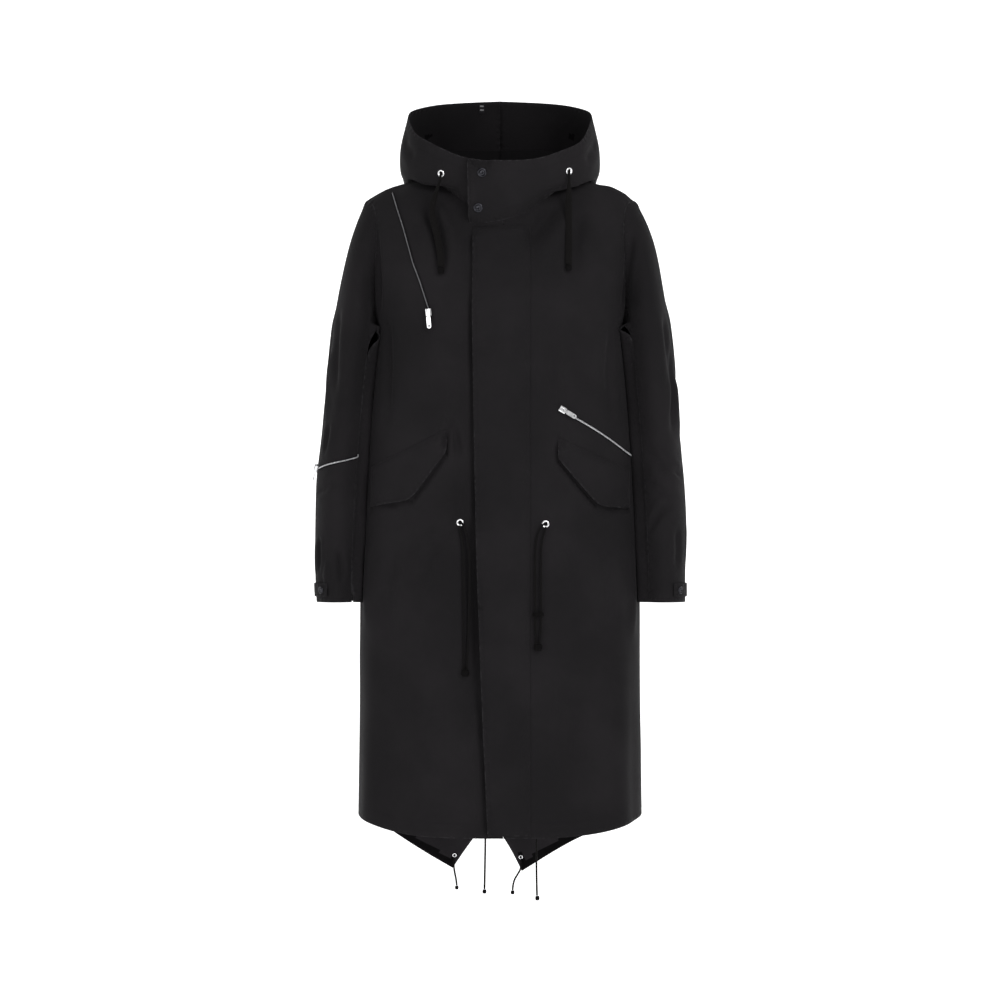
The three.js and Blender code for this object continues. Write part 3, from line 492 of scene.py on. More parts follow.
# Keeps points between two heights above the cloth below, along their normals
def settle(points, normals, trees, least, most, probe=0.03):
    settled = points.copy()
    for i, (point, normal) in enumerate(zip(points, normals)):
        outward = Vector(normal)
        start = Vector(point) + outward * probe
        found = [tree.ray_cast(start, -outward, probe * 2)[3] for tree in trees]
        heights = [probe - distance for distance in found if distance is not None]
        if not heights:
            continue
        highest = max(heights)
        if highest > -least[i]:
            settled[i] = point + normal * (highest + least[i])
        elif highest < -most[i]:
            settled[i] = point + normal * (highest + most[i])
    return settled


# How far the rim of a piece moves to reach the rims of the pieces that it is sewn to, or the cloth that
# it rests on
def seamShifts(points, loops, others, reach, onto):
    rims = []
    for name in others:
        for loop in coat[name]["rims"]:
            rims.append(coat[name]["points"][loop])
    tree = KDTree(sum(len(rim) for rim in rims))
    places = []
    for r, rim in enumerate(rims):
        for k, place in enumerate(rim):
            tree.insert(place, len(places))
            places.append((r, k))
    tree.balance()
    shifts = {}
    for loop in loops:
        for vertex in loop:
            point = points[vertex]
            best = None
            for _, index, _ in tree.find_n(Vector(point), 3):
                r, k = places[index]
                rim = rims[r]
                for start, end in ((rim[k - 1], rim[k]), (rim[k], rim[(k + 1) % len(rim)])):
                    step = end - start
                    share = np.clip((point - start) @ step / max(step @ step, 1e-12), 0, 1)
                    toward = start + step * share - point
                    if best is None or toward @ toward < best @ best:
                        best = toward
            for name in onto:
                toward = np.array(coat[name]["tree"].find_nearest(Vector(point))[0]) - point
                if toward @ toward < best @ best:
                    best = toward
            distance = np.linalg.norm(best)
            weight = float(smoothShare((reach - distance) / (reach * 0.5)))
            shifts[vertex] = best * weight * (1 + 0.0003 / max(distance, 0.0003))
    return shifts


# A sleeve rests against the body beside it, below the armhole
lean = {"below": -0.222, "fade": 0.007, "probe": 0.004, "reach": 0.021, "gap": 0.0009}


def leaned(points, normals, trees, sign):
    rested = points.copy()
    toward = Vector((-sign, 0, 0))
    for i, (point, normal) in enumerate(zip(points, normals)):
        if normal[0] * sign > 0.05 or point[2] > lean["below"]:
            continue
        start = Vector(point) - toward * lean["probe"]
        found = [tree.ray_cast(start, toward, 0.03)[3] for tree in trees]
        found = [distance - lean["probe"] for distance in found if distance is not None]
        if found:
            near = smoothShare((lean["reach"] - min(found)) / lean["fade"])
            low = smoothShare((lean["below"] - point[2]) / lean["fade"])
            rested[i, 0] -= sign * (min(found) - lean["gap"]) * float(near * low)
    return rested


coat = {}


# A piece of cloth: the outer face smoothed and creased, then given its thickness inwards
def clothPiece(node, middle, creases, levels=3, swell=0.7, thick=0.0013, strength=1.5, over=(), least=0.0017,
               sewn=None, flat=False, sewnTo=(), onto=(), reach=0.0026, beside=(), shadeAndLightPaint=None):
    made, mesh = subdivided(node, middle, levels)
    points = vertexValues(mesh, "co")
    normals = vertexValues(mesh, "normal")
    loops = rimLoops(mesh)
    gap, run, nearest = edgeFields(loops, points)
    moved = creaseField(points, creases) * strength + swells(points, swell)
    points = points + normals * (moved * smoothShare(gap / 0.02 + 0.15))[:, None]
    if sewnTo:
        shifts = seamShifts(points, loops, sewnTo, reach, onto)
        fall = 1 - smoothShare(gap / 0.018)
        points = points + np.array([shifts[vertex] for vertex in nearest]) * fall[:, None]
    if beside:
        points = leaned(points, normals, [coat[name]["tree"] for name in beside], math.copysign(1, middle[0]))
    thickness = np.ones(len(points))
    if over:
        low = np.full(len(points), least)
        high = np.full(len(points), 0.05)
        if sewn:
            rim = np.array([spot for spot in points[np.concatenate(loops)] if sewn(spot * 1000)])
            away = np.array([np.linalg.norm(rim - point, axis=1).min() for point in points])
            high = 0.0007 + away * 0.3
            low = np.minimum(low, high)
            thickness = np.clip(0.35 + away / 0.006, 0, 1)
            gap = np.where(away < 0.004, 0.01, gap)
        points = settle(points, normals, [coat[name]["tree"] for name in over], low, high)
    setPoints(mesh, points)
    storeFloats(mesh, "edgeGap", gap)
    storeFloats(mesh, "edgeRun", run)
    turn = np.arctan2(points[:, 0] - middle[0], -(points[:, 1] - middle[1]))
    storeCut(mesh, points[:, 0] if flat else turn * 0.15, points[:, 2])
    coat[node] = {
        "tree": treeOf(mesh), "points": points, "normals": vertexValues(mesh, "normal"), "rims": loops,
    }
    group = made.vertex_groups.new(name="thickness")
    for level in np.unique(np.round(thickness, 2)):
        members = np.nonzero(np.abs(thickness - level) < 0.0051)[0]
        group.add(members.tolist(), float(level), "REPLACE")
    shell = made.modifiers.new("thickness", "SOLIDIFY")
    shell.thickness = thick
    shell.vertex_group = group.name
    shell.offset = -1
    shell.use_even_offset = False
    mesh = finished(made, node + "_cloth")
    smoothFaces(mesh)
    mesh.materials.append(cotton)
    # Chosen faces get painted shade from the dark cloth, and inside the tails painted light from the paler
    # cotton copy
    if shadeAndLightPaint:
        mesh.materials.append(darkShadePaint)
        mesh.materials.append(cottonLightPaint)
        rim = points[np.concatenate(loops)]
        for polygon in mesh.polygons:
            centre = np.array(polygon.center)
            polygon.material_index = shadeAndLightPaint(centre * 1000, polygon.normal, rim)
    made.name = node + "_cloth"
    fitted(made, node)
    coat[node]["object"] = made
    coat[node]["pieces"] = []
    print(node, "has", len(mesh.polygons), "faces")


# Creases from rows of depth, half-width and places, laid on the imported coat
def laid(rows, follow):
    return [{"depth": depth, "width": width, "line": follow(places)} for depth, width, *places in rows]


# Creases of the body: the places are the distance from the middle and the height
panels = ("front_right", "front_left", "back_right", "back_left")
bodyTree = packedTree(*panels)
bodyCreases = laid([
    (-5.5, 8, (-121, -34), (-100, -75), (-92, -111), (-92, -156)),
    (3.0, 9, (-100, -34), (-76, -80), (-70, -122)),
    (2.6, 13, (-140, -60), (-132, -110), (-128, -170)),
    (-5.0, 12, (90, -32), (62, -72), (36, -108)),
    (3.0, 14, (112, -50), (84, -96), (60, -150)),
    (-3.2, 11, (128, -40), (122, -95), (118, -165)),
    (-2.2, 10, (80, -235), (81, -300), (77, -375)),
    (2.2, 18, (155, -190), (148, -270), (150, -350)),
    (-3.2, 11, (183, -215), (172, -300), (176, -390)),
    (-3.4, 10, (-183, -205), (-176, -300), (-178, -400)),
    (2.0, 18, (-150, -180), (-144, -260), (-150, -350)),
    (-3.4, 4.5, (-78, -372), (-82, -400), (-90, -432)),
    (-3.0, 4.5, (-76, -378), (-68, -408), (-63, -440)),
    (2.2, 4, (-79, -385), (-76, -412), (-77, -445)),
    (-1.6, 8, (-62, -300), (-66, -345), (-74, -378)),
    (-2.0, 5, (92, -395), (96, -412), (100, -430)),
    (-2.0, 7, (-60, -470), (-64, -505), (-61, -536)),
    (-2.0, 9, (-84, -556), (-112, -590), (-126, -640)),
    (-2.0, 9, (90, -556), (118, -600), (128, -660)),
    (-2.6, 13, (160, -560), (172, -640), (168, -740)),
    (-2.8, 13, (-164, -560), (-178, -650), (-172, -750)),
    (2.0, 15, (-120, -800), (-118, -880), (-112, -960)),
    (-2.0, 14, (112, -780), (110, -860), (116, -950)),
    (2.4, 12, (-205, -560), (-212, -640), (-208, -720)),
    (2.2, 12, (206, -570), (213, -650), (209, -740)),
], lambda places: frontLine(bodyTree, places))
backCreases = laid([
    (-4.5, 12, (-110, -60), (-86, -130), (-74, -215)),
    (-4.0, 11, (104, -70), (84, -140), (80, -230)),
    (2.6, 16, (-30, -160), (-34, -240), (-26, -330)),
    (-2.6, 14, (38, -170), (44, -260), (38, -350)),
    (-4.0, 11, (-178, -210), (-168, -300), (-172, -400)),
    (-4.2, 11, (180, -200), (170, -295), (174, -390)),
    (-3.0, 9, (-130, -430), (-96, -470), (-60, -490)),
    (-3.2, 9, (126, -420), (90, -462), (52, -486)),
    (-3.2, 13, (-140, -520), (-128, -600), (-136, -700)),
    (3.0, 14, (140, -530), (132, -610), (136, -710)),
    (2.6, 15, (-60, -540), (-66, -640), (-60, -760)),
    (-3.0, 14, (64, -560), (70, -660), (62, -790)),
    (-2.6, 13, (-196, -600), (-204, -700), (-198, -820)),
    (-2.6, 13, (198, -610), (205, -700), (199, -830)),
], lambda places: frontLine(bodyTree, places, back=True))
# A trough along the front of each armhole
armholes = {
    "right": (-3.4, 6, (-196, -66), (-194, -110), (-191, -160), (-188, -215)),
    "left": (-3.0, 6, (211, -66), (206, -110), (198, -160), (191, -210)),
}
for side, row in armholes.items():
    armTree = packedTree(f"front_{side}", f"top_sleeve_{side}", f"under_sleeve_{side}")
    armholes[side] = laid([row], lambda places: frontLine(armTree, places))
# The front drops away beside the storm flap's free edge
underFlap = [
    {"depth": -3.4, "width": 2.8, "ends": (0.02, 0.05),
     "line": [(-44.5, -85), (-45.5, -210), (-43.5, -330), (-42, -440), (-40, -540)]},
    {"depth": -3.6, "width": 8, "ends": (0.1, 0.4),
     "line": [(-49, -528), (-48, -580), (-45, -650), (-40, -740), (-34, -850)]},
    {"depth": -3.4, "width": 6, "ends": (0.1, 0.4),
     "line": [(-39, -520), (-38, -600), (-36, -700), (-33, -850)]},
    {"depth": -3.4, "width": 3, "ends": (0.1, 0.02), "line": [(-35, -800), (-27, -900), (-20, -1030)]},
]
# It drops away below the free edges of the pocket flaps and of the throat's tab too
underFlap += [
    {"depth": -3.4, "width": 3, "ends": (0.05, 0.03),
     "line": [(-82, -424), (-84, -430), (-112, -470), (-139, -506)]},
    {"depth": -3.4, "width": 3, "ends": (0.03, 0.03), "line": [(-137, -506), (-170, -512), (-206, -517)]},
    {"depth": -3.4, "width": 3, "ends": (0.1, 0.03),
     "line": [(89, -410), (89.5, -425), (91, -442), (122, -479), (153, -515)]},
    {"depth": -3.4, "width": 3, "ends": (0.03, 0.03), "line": [(151, -515), (178, -518), (206, -520)]},
    {"depth": -2.6, "width": 2.6, "line": [(-44, -72), (-24, -74), (-2, -73)]},
]
for crease in underFlap:
    crease["line"] = frontLine(bodyTree, crease["line"])
# The shoulders stand a little higher at the tops of the sleeves, the left one more
shoulderRise = [
    {"depth": 6, "width": 24, "ends": (0.35, 0.45),
     "line": np.array([(0.15, 0, 0.005), (0.182, 0, -0.008), (0.203, 0, -0.022), (0.222, 0, -0.048)])},
    {"depth": 3.2, "width": 20, "ends": (0.4, 0.4),
     "line": np.array([(-0.15, 0, 0.005), (-0.18, 0, -0.006), (-0.2, 0, -0.02)])},
]


# Inside the tails the cloth gets painted light from a paler copy of the cotton, and painted shade along the
# outer hem
def tailShadeAndLightPaint(centre, normal, rim):
    if centre[2] > -990 or normal[1] > -0.3:
        return 0
    outer = centre[0] < -72 or centre[0] > 33
    return 1 if outer and np.linalg.norm(rim * 1000 - centre, axis=1).min() < 13 else 2


# Inside the neck of the hood the cloth gets painted shade from the dark cloth
def neckShadePaint(centre, *_):
    return int(-5 < centre[2] < 90 and abs(centre[0]) < 122 and -20 < centre[1] < 106)


panelSeams = {
    "front_right": (), "front_left": (), "back_right": ("front_right",),
    "back_left": ("front_left", "back_right"),
}
for panel, sewnTo in panelSeams.items():
    creases = bodyCreases + backCreases + shoulderRise
    if "front" in panel:
        creases = creases + underFlap + armholes[panel[6:]]
    clothPiece(panel, (0, 0), creases, sewnTo=sewnTo, shadeAndLightPaint=tailShadeAndLightPaint if "back" in panel else None)

# Sleeves: creases by the turn round the sleeve, in degrees from the wearer's left (0) by way of the
# back (90), and by the height
sleeveMiddles = {"left": (0.247, -0.012), "right": (-0.247, -0.012)}
sleeveRows = {
    "left": [
        (-3.4, 8, (-70, -205), (-62, -270), (-58, -330)),
        (-3.6, 7, (-40, -250), (-50, -340), (-66, -410)),
        (2.2, 10, (-20, -300), (-28, -360), (-34, -420)),
        (-4.2, 7, (-110, -425), (-80, -450), (-45, -462), (-15, -458)),
        (-3.2, 7, (-120, -470), (-85, -488), (-50, -505)),
        (-3.4, 6, (-70, -505), (-90, -530), (-112, -560)),
        (-2.4, 6, (-60, -545), (-58, -585), (-62, -620)),
        (-1.8, 6, (-30, -540), (-26, -575), (-30, -612)),
        (-3.0, 8, (60, -260), (70, -340), (84, -420)),
        (-3.2, 8, (110, -440), (80, -462), (40, -470)),
        (-2.4, 7, (30, -520), (46, -570), (40, -620)),
        (-2.6, 8, (120, -500), (100, -560), (104, -620)),
        (2.0, 12, (20, -180), (10, -260), (16, -340)),
    ],
    "right": [
        (-3.0, 8, (-104, -190), (-108, -270), (-104, -350)),
        (-2.8, 4.5, (-150, -262), (-152, -330), (-156, -395)),
        (2.0, 9, (-132, -250), (-136, -320), (-128, -400)),
        (-2.6, 6, (-118, -380), (-122, -410), (-128, -436)),
        (-2.8, 7, (-95, -470), (-120, -486), (-150, -492)),
        (-3.2, 4.5, (-132, -560), (-130, -590), (-134, -622)),
        (-2.4, 4, (-146, -566), (-148, -600), (-143, -630)),
        (-3.4, 5.5, (-96, -580), (-92, -610), (-94, -640)),
        (1.8, 5, (-112, -600), (-116, -625), (-112, -650)),
        (-3.0, 8, (120, -250), (112, -330), (98, -410)),
        (-3.2, 8, (70, -440), (104, -460), (140, -468)),
        (-2.4, 7, (150, -520), (138, -570), (142, -620)),
        (-2.6, 8, (84, -500), (96, -560), (90, -620)),
        (2.0, 12, (172, -190), (178, -270), (172, -350)),
    ],
}
for side, centre in sleeveMiddles.items():
    halves = (f"top_sleeve_{side}", f"under_sleeve_{side}")
    sleeveTree = packedTree(*halves)
    creases = laid(sleeveRows[side], lambda places: roundLine(sleeveTree, places, centre))
    creases += shoulderRise + armholes[side]
    body = (f"front_{side}", f"back_{side}")
    for half, sewnTo in zip(halves, (body, body + halves[:1])):
        clothPiece(half, centre, creases, swell=0.6, sewnTo=sewnTo, reach=0.007, beside=body)

# The hood: creases by the turn round the neck and the height
hoodMiddle = (0, 0.03)
hoodTree = packedTree("hood_right", "hood_left")
hoodCreases = laid([
    (-2.4, 9, (-35, 30), (-25, 52), (-12, 70)),
    (-2.4, 9, (-146, 36), (-156, 58), (-166, 78)),
    (-2.6, 7, (-62, -24), (-48, -12), (-36, -6)),
    (-2.2, 7, (-120, -20), (-132, -10), (-146, -4)),
    (-3.4, 12, (20, -40), (42, -20), (66, -36)),
    (-3.4, 12, (160, -34), (138, -16), (114, -34)),
    (2.6, 14, (80, -100), (84, -40), (78, 40)),
    (-2.6, 13, (104, -100), (100, -30), (106, 50)),
    (-2.2, 12, (56, 20), (40, 60), (30, 100)),
    (-2.2, 12, (128, 10), (142, 56), (150, 96)),
], lambda places: roundLine(hoodTree, places, hoodMiddle))
for half, sewnTo in (("hood_right", panels), ("hood_left", panels + ("hood_right",))):
    clothPiece(
        half, hoodMiddle, hoodCreases, strength=1.4, sewnTo=sewnTo, onto=panels, reach=0.013, shadeAndLightPaint=neckShadePaint)

# Flaps on the front
clothPiece(
    "storm_flap", (0, 0), bodyCreases, over=("front_right", "front_left"), flat=True,
    sewn=lambda p: p[0] > 46 or p[2] > -74)


def aboveFlapMiddle(p):
    return p[2] > np.interp(abs(p[0]), (84, 139, 205), (-404, -458, -478)) or abs(p[0]) > 200


for side in ("right", "left"):
    clothPiece(
        f"pocket_flap_{side}", (0, 0), bodyCreases, over=(f"front_{side}",), flat=True, sewn=aboveFlapMiddle)
for side, centre in sleeveMiddles.items():
    clothPiece(
        f"cuff_tab_{side}", centre, [], levels=4, swell=0.5, thick=0.0012, least=0.0015,
        over=(f"top_sleeve_{side}", f"under_sleeve_{side}"))
print("cloth is made")


# Small pieces that repeat: points with a direction along the line and one out of the cloth
def repeatGroup(name, shapeNode, **shapeValues):
    group = bpy.data.node_groups.new(name, "GeometryNodeTree")
    sockets = (
        ("Geometry", "INPUT", "NodeSocketGeometry"), ("Length", "INPUT", "NodeSocketFloat"),
        ("Width", "INPUT", "NodeSocketFloat"), ("Height", "INPUT", "NodeSocketFloat"),
        ("Material", "INPUT", "NodeSocketMaterial"), ("Geometry", "OUTPUT", "NodeSocketGeometry"),
    )
    for title, direction, kind in sockets:
        group.interface.new_socket(title, in_out=direction, socket_type=kind)
    nodes = group.nodes
    link = group.links.new
    start = nodes.new("NodeGroupInput")
    end = nodes.new("NodeGroupOutput")
    dots = nodes.new("GeometryNodeMeshToPoints")
    link(start.outputs["Geometry"], dots.inputs["Mesh"])
    turns = []
    for title, axis, pivot in (("along", "Y", "AUTO"), ("out", "Z", "Y")):
        reading = nodes.new("GeometryNodeInputNamedAttribute")
        reading.data_type = "FLOAT_VECTOR"
        reading.inputs["Name"].default_value = title
        turn = nodes.new("FunctionNodeAlignRotationToVector")
        turn.axis = axis
        turn.pivot_axis = pivot
        link(reading.outputs["Attribute"], turn.inputs["Vector"])
        if turns:
            link(turns[-1].outputs[0], turn.inputs["Rotation"])
        turns.append(turn)
    shape = nodes.new(shapeNode)
    for title, value in shapeValues.items():
        shape.inputs[title].default_value = value
    scaling = nodes.new("ShaderNodeCombineXYZ")
    for title, axis in (("Width", "X"), ("Length", "Y"), ("Height", "Z")):
        link(start.outputs[title], scaling.inputs[axis])
    placing = nodes.new("GeometryNodeInstanceOnPoints")
    link(dots.outputs["Points"], placing.inputs["Points"])
    link(shape.outputs["Mesh"], placing.inputs["Instance"])
    link(turns[-1].outputs[0], placing.inputs["Rotation"])
    link(scaling.outputs[0], placing.inputs["Scale"])
    realise = nodes.new("GeometryNodeRealizeInstances")
    link(placing.outputs[0], realise.inputs[0])
    paint = nodes.new("GeometryNodeSetMaterial")
    link(realise.outputs[0], paint.inputs["Geometry"])
    link(start.outputs["Material"], paint.inputs["Material"])
    link(paint.outputs[0], end.inputs[0])
    return group


stitchGroup = repeatGroup("stitches", "GeometryNodeMeshUVSphere", Segments=6, Rings=4, Radius=0.5)
teethGroup = repeatGroup("zip teeth", "GeometryNodeMeshCube")


def repeated(name, group, places, along, out, settings, material):
    mesh = bpy.data.meshes.new(name)
    mesh.from_pydata([tuple(place) for place in places], [], [])
    for title, values in (("along", along), ("out", out)):
        layer = mesh.attributes.new(title, "FLOAT_VECTOR", "POINT")
        layer.data.foreach_set("vector", np.asarray(values, dtype=np.float32).ravel())
    made = newObject(name, mesh, [])
    modifier = made.modifiers.new("repeat", "NODES")
    modifier.node_group = group
    values = dict(settings, Material=material)
    for item in group.interface.items_tree:
        if item.in_out == "INPUT" and item.name in values:
            modifier[item.identifier] = values[item.name]
    smoothFaces(finished(made, name))
    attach(made, "parka")
    return made


# The nearest places on a surface, lifted off it, and the directions out of it there
def onCloth(places, tree, lift):
    spots, outs = [], []
    for place in places:
        spot, normal, _, _ = tree.find_nearest(Vector(place))
        spots.append(np.array(spot) + np.array(normal) * lift)
        outs.append(np.array(normal))
    return np.array(spots), np.array(outs)


# Places at an even pitch along a line that follows the cloth
def evenPlaces(line, tree, pitch, lift):
    runs = runsOf(line)
    count = int(runs[-1] / pitch)
    if count < 1:
        return [], [], []
    wanted = np.arange(count + 1) * pitch
    places = np.stack([np.interp(wanted, runs, line[:, axis]) for axis in range(3)], axis=1)
    spots, outs = onCloth(places, tree, lift)
    return spots, directions(places), outs


# A line set in from a piece's rim, where the rim is wanted
def insetLines(node, inset, wanted):
    piece = coat[node]
    points, normals = piece["points"], piece["normals"]
    lines = []
    for loop in piece["rims"]:
        ring = points[loop]
        ahead = np.roll(ring, -1, axis=0) - np.roll(ring, 1, axis=0)
        ahead /= np.maximum(np.linalg.norm(ahead, axis=1), 1e-9)[:, None]
        inward = np.cross(normals[loop], ahead)
        probe = ring[len(ring) // 3] + inward[len(ring) // 3] * 0.004
        spot, _, _, distance = piece["tree"].find_nearest(Vector(probe))
        if distance > 0.0022:
            inward = -inward
        line = []
        for place, step in zip(ring, inward):
            if wanted(place * 1000):
                line.append(place + step * inset)
            else:
                if len(line) > 4:
                    lines.append(np.array(line))
                line = []
        if len(line) > 4:
            lines.append(np.array(line))
    return lines


stitch = {"Length": 0.0024, "Width": 0.00055, "Height": 0.00045}
stitchPitch = 0.0034


def stitchPiece(node, lines):
    places, alongs, outs = [], [], []
    for line in lines:
        found, steps, normals = evenPlaces(line, coat[node]["tree"], stitchPitch, 0.0001)
        places += list(found)
        alongs += list(steps)
        outs += list(normals)
    made = repeated(node + "_stitches", stitchGroup, places, alongs, outs, stitch, threadMaterial)
    coat[node]["pieces"].append(made)


# Topstitching, by piece
for side, sign in (("right", -1), ("left", 1)):
    front, back = f"front_{side}", f"back_{side}"
    lines = insetLines(front, 0.0018, lambda p: p[2] > -240 and abs(p[0]) > 60)
    lines += insetLines(front, 0.0225, lambda p: p[2] < -990 and abs(p[0]) > 20 and abs(p[0]) < 205)
    lines += insetLines(front, 0.0018, lambda p: -1000 < p[2] < -250 and abs(p[0]) > 190)
    stitchPiece(front, lines)
    lines = insetLines(back, 0.0018, lambda p: p[2] > -240 and abs(p[0]) > 60)
    lines += insetLines(back, 0.0018, lambda p: -1000 < p[2] < -20 and abs(p[0]) < 20)
    lines += insetLines(back, 0.0135, lambda p: p[2] < -1012)
    stitchPiece(back, lines)
    for half in (f"top_sleeve_{side}", f"under_sleeve_{side}"):
        lines = insetLines(half, 0.0018, lambda p: -640 < p[2] < -260)
        lines += insetLines(half, 0.019, lambda p: p[2] < -660)
        stitchPiece(half, lines)
    hood = f"hood_{side}"
    lines = insetLines(hood, 0.017, lambda p: p[2] > 25)
    if side == "left":
        lines += insetLines(hood, 0.0045, lambda p: p[0] < 12 and p[1] < -100 and p[2] < 26)
    stitchPiece(hood, lines)
    flap = f"pocket_flap_{side}"
    stitchPiece(flap, insetLines(flap, 0.0045, lambda p: not aboveFlapMiddle(p)))
    stitchPiece(f"cuff_tab_{side}", insetLines(f"cuff_tab_{side}", 0.003, lambda p: True))
stitchPiece("storm_flap", insetLines("storm_flap", 0.0065, lambda p: p[0] < -14))
print("stitches are made")


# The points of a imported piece, their middle and their directions, the longest first
def spread(node):
    points = np.unique(np.round([v.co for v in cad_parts[node].data.vertices], 6), axis=0)
    centre = points.mean(0)
    return points, centre, np.linalg.svd(points - centre, full_matrices=False)[2]


# Zips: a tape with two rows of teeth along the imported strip's middle
def stripMiddle(node):
    points, centre, axes = spread(node)
    along = (points - centre) @ axes[0]
    stations = np.linspace(along.min(), along.max(), 24)
    fits = [np.polyfit(along, points[:, axis], 4) for axis in range(3)]
    return np.stack([np.polyval(fit, stations) for fit in fits], axis=1)


def ribbon(name, line, outs, half, thick, material):
    sides = np.cross(directions(line), outs)
    vertices, faces = [], []
    for centre, side, out in zip(line, sides, outs):
        for across, up in ((-half, 0), (half, 0), (half, thick), (-half, thick)):
            vertices.append(centre + side * across + out * up)
    for i in range(len(line) - 1):
        for k in range(4):
            a, b = 4 * i + k, 4 * i + (k + 1) % 4
            faces.append((a, b, b + 4, a + 4))
    faces += [(3, 2, 1, 0), tuple(4 * (len(line) - 1) + k for k in range(4))]
    return newObject(name, solidMesh(name, vertices, faces), [material])


zipTeeth = {"Length": 0.00135, "Height": 0.0009}
zips = {
    "chest_zip": {"host": "front_right", "tooth": 0.001, "metal": zipDull},
    "hip_zip": {"host": "front_left", "tooth": 0.0015, "metal": zipMetal},
    "sleeve_zip": {"host": "top_sleeve_right", "tooth": 0.0011, "metal": zipMetal},
}
for zipName, zipRow in zips.items():
    host = zipRow["host"]
    tree = coat[host]["tree"]
    spots, outs = onCloth(stripMiddle(zipName), tree, 0.0003)
    tape = ribbon(zipName + "_tape", spots, outs, 0.0027, 0.0007, tapeMaterial)
    fitted(tape, zipName)
    rows = []
    for offset, shift in ((-0.36, 0.0), (0.36, 0.5)):
        line = spots + np.cross(directions(spots), outs) * offset * zipRow["tooth"]
        line[0] = line[0] + (line[1] - line[0]) * shift * 0.1
        rows.append(evenPlaces(line, tree, 0.00205, 0.00135))
    teeth = repeated(
        zipName + "_teeth", teethGroup, *(np.concatenate(column) for column in zip(*rows)),
        dict(zipTeeth, Width=zipRow["tooth"]), zipRow["metal"])
    coat[host]["pieces"] += [tape, teeth]
print("zips are made")


# Round trims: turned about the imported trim's own axis
def turned(name, profile, segments, materials, parting, place, outward):
    vertices, faces, slots = [], [], []
    for radius, up in profile:
        for k in range(segments):
            angle = 2 * math.pi * k / segments
            vertices.append((radius * math.cos(angle), radius * math.sin(angle), up))
    for j in range(len(profile) - 1):
        for k in range(segments):
            a = j * segments + k
            b = j * segments + (k + 1) % segments
            faces.append((a, b, b + segments, a + segments))
            slots.append(0 if j < parting else 1)
    faces.append(tuple(range(segments))[::-1])
    slots.append(0)
    faces.append(tuple((len(profile) - 1) * segments + k for k in range(segments)))
    slots.append(1 if parting < len(profile) - 1 else 0)
    mesh = bpy.data.meshes.new(name)
    mesh.from_pydata(vertices, [], faces)
    made = newObject(name, mesh, materials)
    mesh.polygons.foreach_set("material_index", slots)
    turn = Vector((0, 0, 1)).rotation_difference(Vector(outward)).to_matrix().to_4x4()
    mesh.transform(Matrix.Translation(Vector(place)) @ turn)
    smoothFaces(mesh)
    mesh.set_sharp_from_angle(angle=math.radians(38))
    return made


snapProfile = [
    (0.97, 0.0), (1.0, 0.06), (0.98, 0.15), (0.9, 0.22), (0.8, 0.24), (0.7, 0.2), (0.64, 0.13), (0.6, 0.12),
    (0.56, 0.14), (0.5, 0.22), (0.42, 0.25), (0.3, 0.235), (0.16, 0.21), (0.02, 0.2),
]
eyeletProfile = [
    (1.0, 0.0), (1.0, 0.08), (0.96, 0.17), (0.88, 0.25), (0.78, 0.28), (0.66, 0.25), (0.56, 0.17),
    (0.5, 0.07), (0.47, 0.02), (0.3, 0.02), (0.02, 0.02),
]
snap = {"profile": snapProfile, "materials": [gunmetal], "parting": len(snapProfile), "slot": "gunmetal"}
eyelet = {"profile": eyeletProfile, "materials": [silver, holeShadePaint], "parting": 8, "slot": "silver_metal"}
trims = {
    "throat_snap_upper": dict(snap, host="hood_left", radius=7.5),
    "throat_snap_lower": dict(snap, host="hood_left", radius=7.5),
    "cuff_snap_left": dict(snap, host="cuff_tab_left", radius=6, middle=sleeveMiddles["left"]),
    "cuff_snap_right": dict(snap, host="cuff_tab_right", radius=6, middle=sleeveMiddles["right"]),
    "hood_eyelet_right": dict(eyelet, host="hood_right", radius=6),
    "hood_eyelet_left": dict(eyelet, host="hood_left", radius=6),
    "waist_eyelet_right": dict(eyelet, host="front_right", radius=6),
    "waist_eyelet_left": dict(eyelet, host="front_left", radius=6),
    "tail_eyelet_right": dict(eyelet, host="back_right", radius=3.6),
    "tail_eyelet_left": dict(eyelet, host="back_left", radius=3.6),
}
for node, trim in trims.items():
    _, centre, axes = spread(node)
    away = centre - np.array([*trim.get("middle", (0, 0)), centre[2]])
    outward = axes[2] if axes[2] @ away > 0 else -axes[2]
    spot, normal, _, _ = coat[trim["host"]]["tree"].find_nearest(Vector(centre))
    if node.startswith("tail"):
        outward = -outward
        base = np.array(spot) - np.array(normal) * 0.0014
    else:
        base = np.array(spot) + outward * 0.0001
    size = trim["radius"] / 1000
    profile = [(r * size, up * size) for r, up in trim["profile"]]
    made = turned(node + "_trim", profile, 40, trim["materials"], trim["parting"], base, outward)
    fitted(made, node)
    coat[trim["host"]]["pieces"].append(made)
print("trims are made")

# Sliders and pulls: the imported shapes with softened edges
for zipName in zips:
    kept(zipName + "_slider", silver, 0.00045)
    kept(zipName + "_pull", silver, 0.00032)

# The tab inside the hood: a bare strip with two pale bars
tabNode = kept("hood_tab", plainMaterial("hood tab cloth", colour(0.014, 0.013, 0.015), 0.85))
coat["hood_right"]["pieces"].append(tabNode)
tabTree = treeOf(tabNode.data)
for title, height in (("upper", 0.1385), ("lower", 0.1325)):
    spots, outs = [], []
    for x in np.linspace(-0.0327, -0.0267, 5):
        spot, normal, _, _ = tabTree.ray_cast(Vector((x, -1, height)), Vector((0, 1, 0)))
        spots.append(np.array(spot) + np.array(normal) * 0.0001)
        outs.append(np.array(normal))
    bar = ribbon(f"hood_tab_bar_{title}", np.array(spots), np.array(outs), 0.0012, 0.0003, barMaterial)
    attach(bar, "parka")
    coat["hood_right"]["pieces"].append(bar)


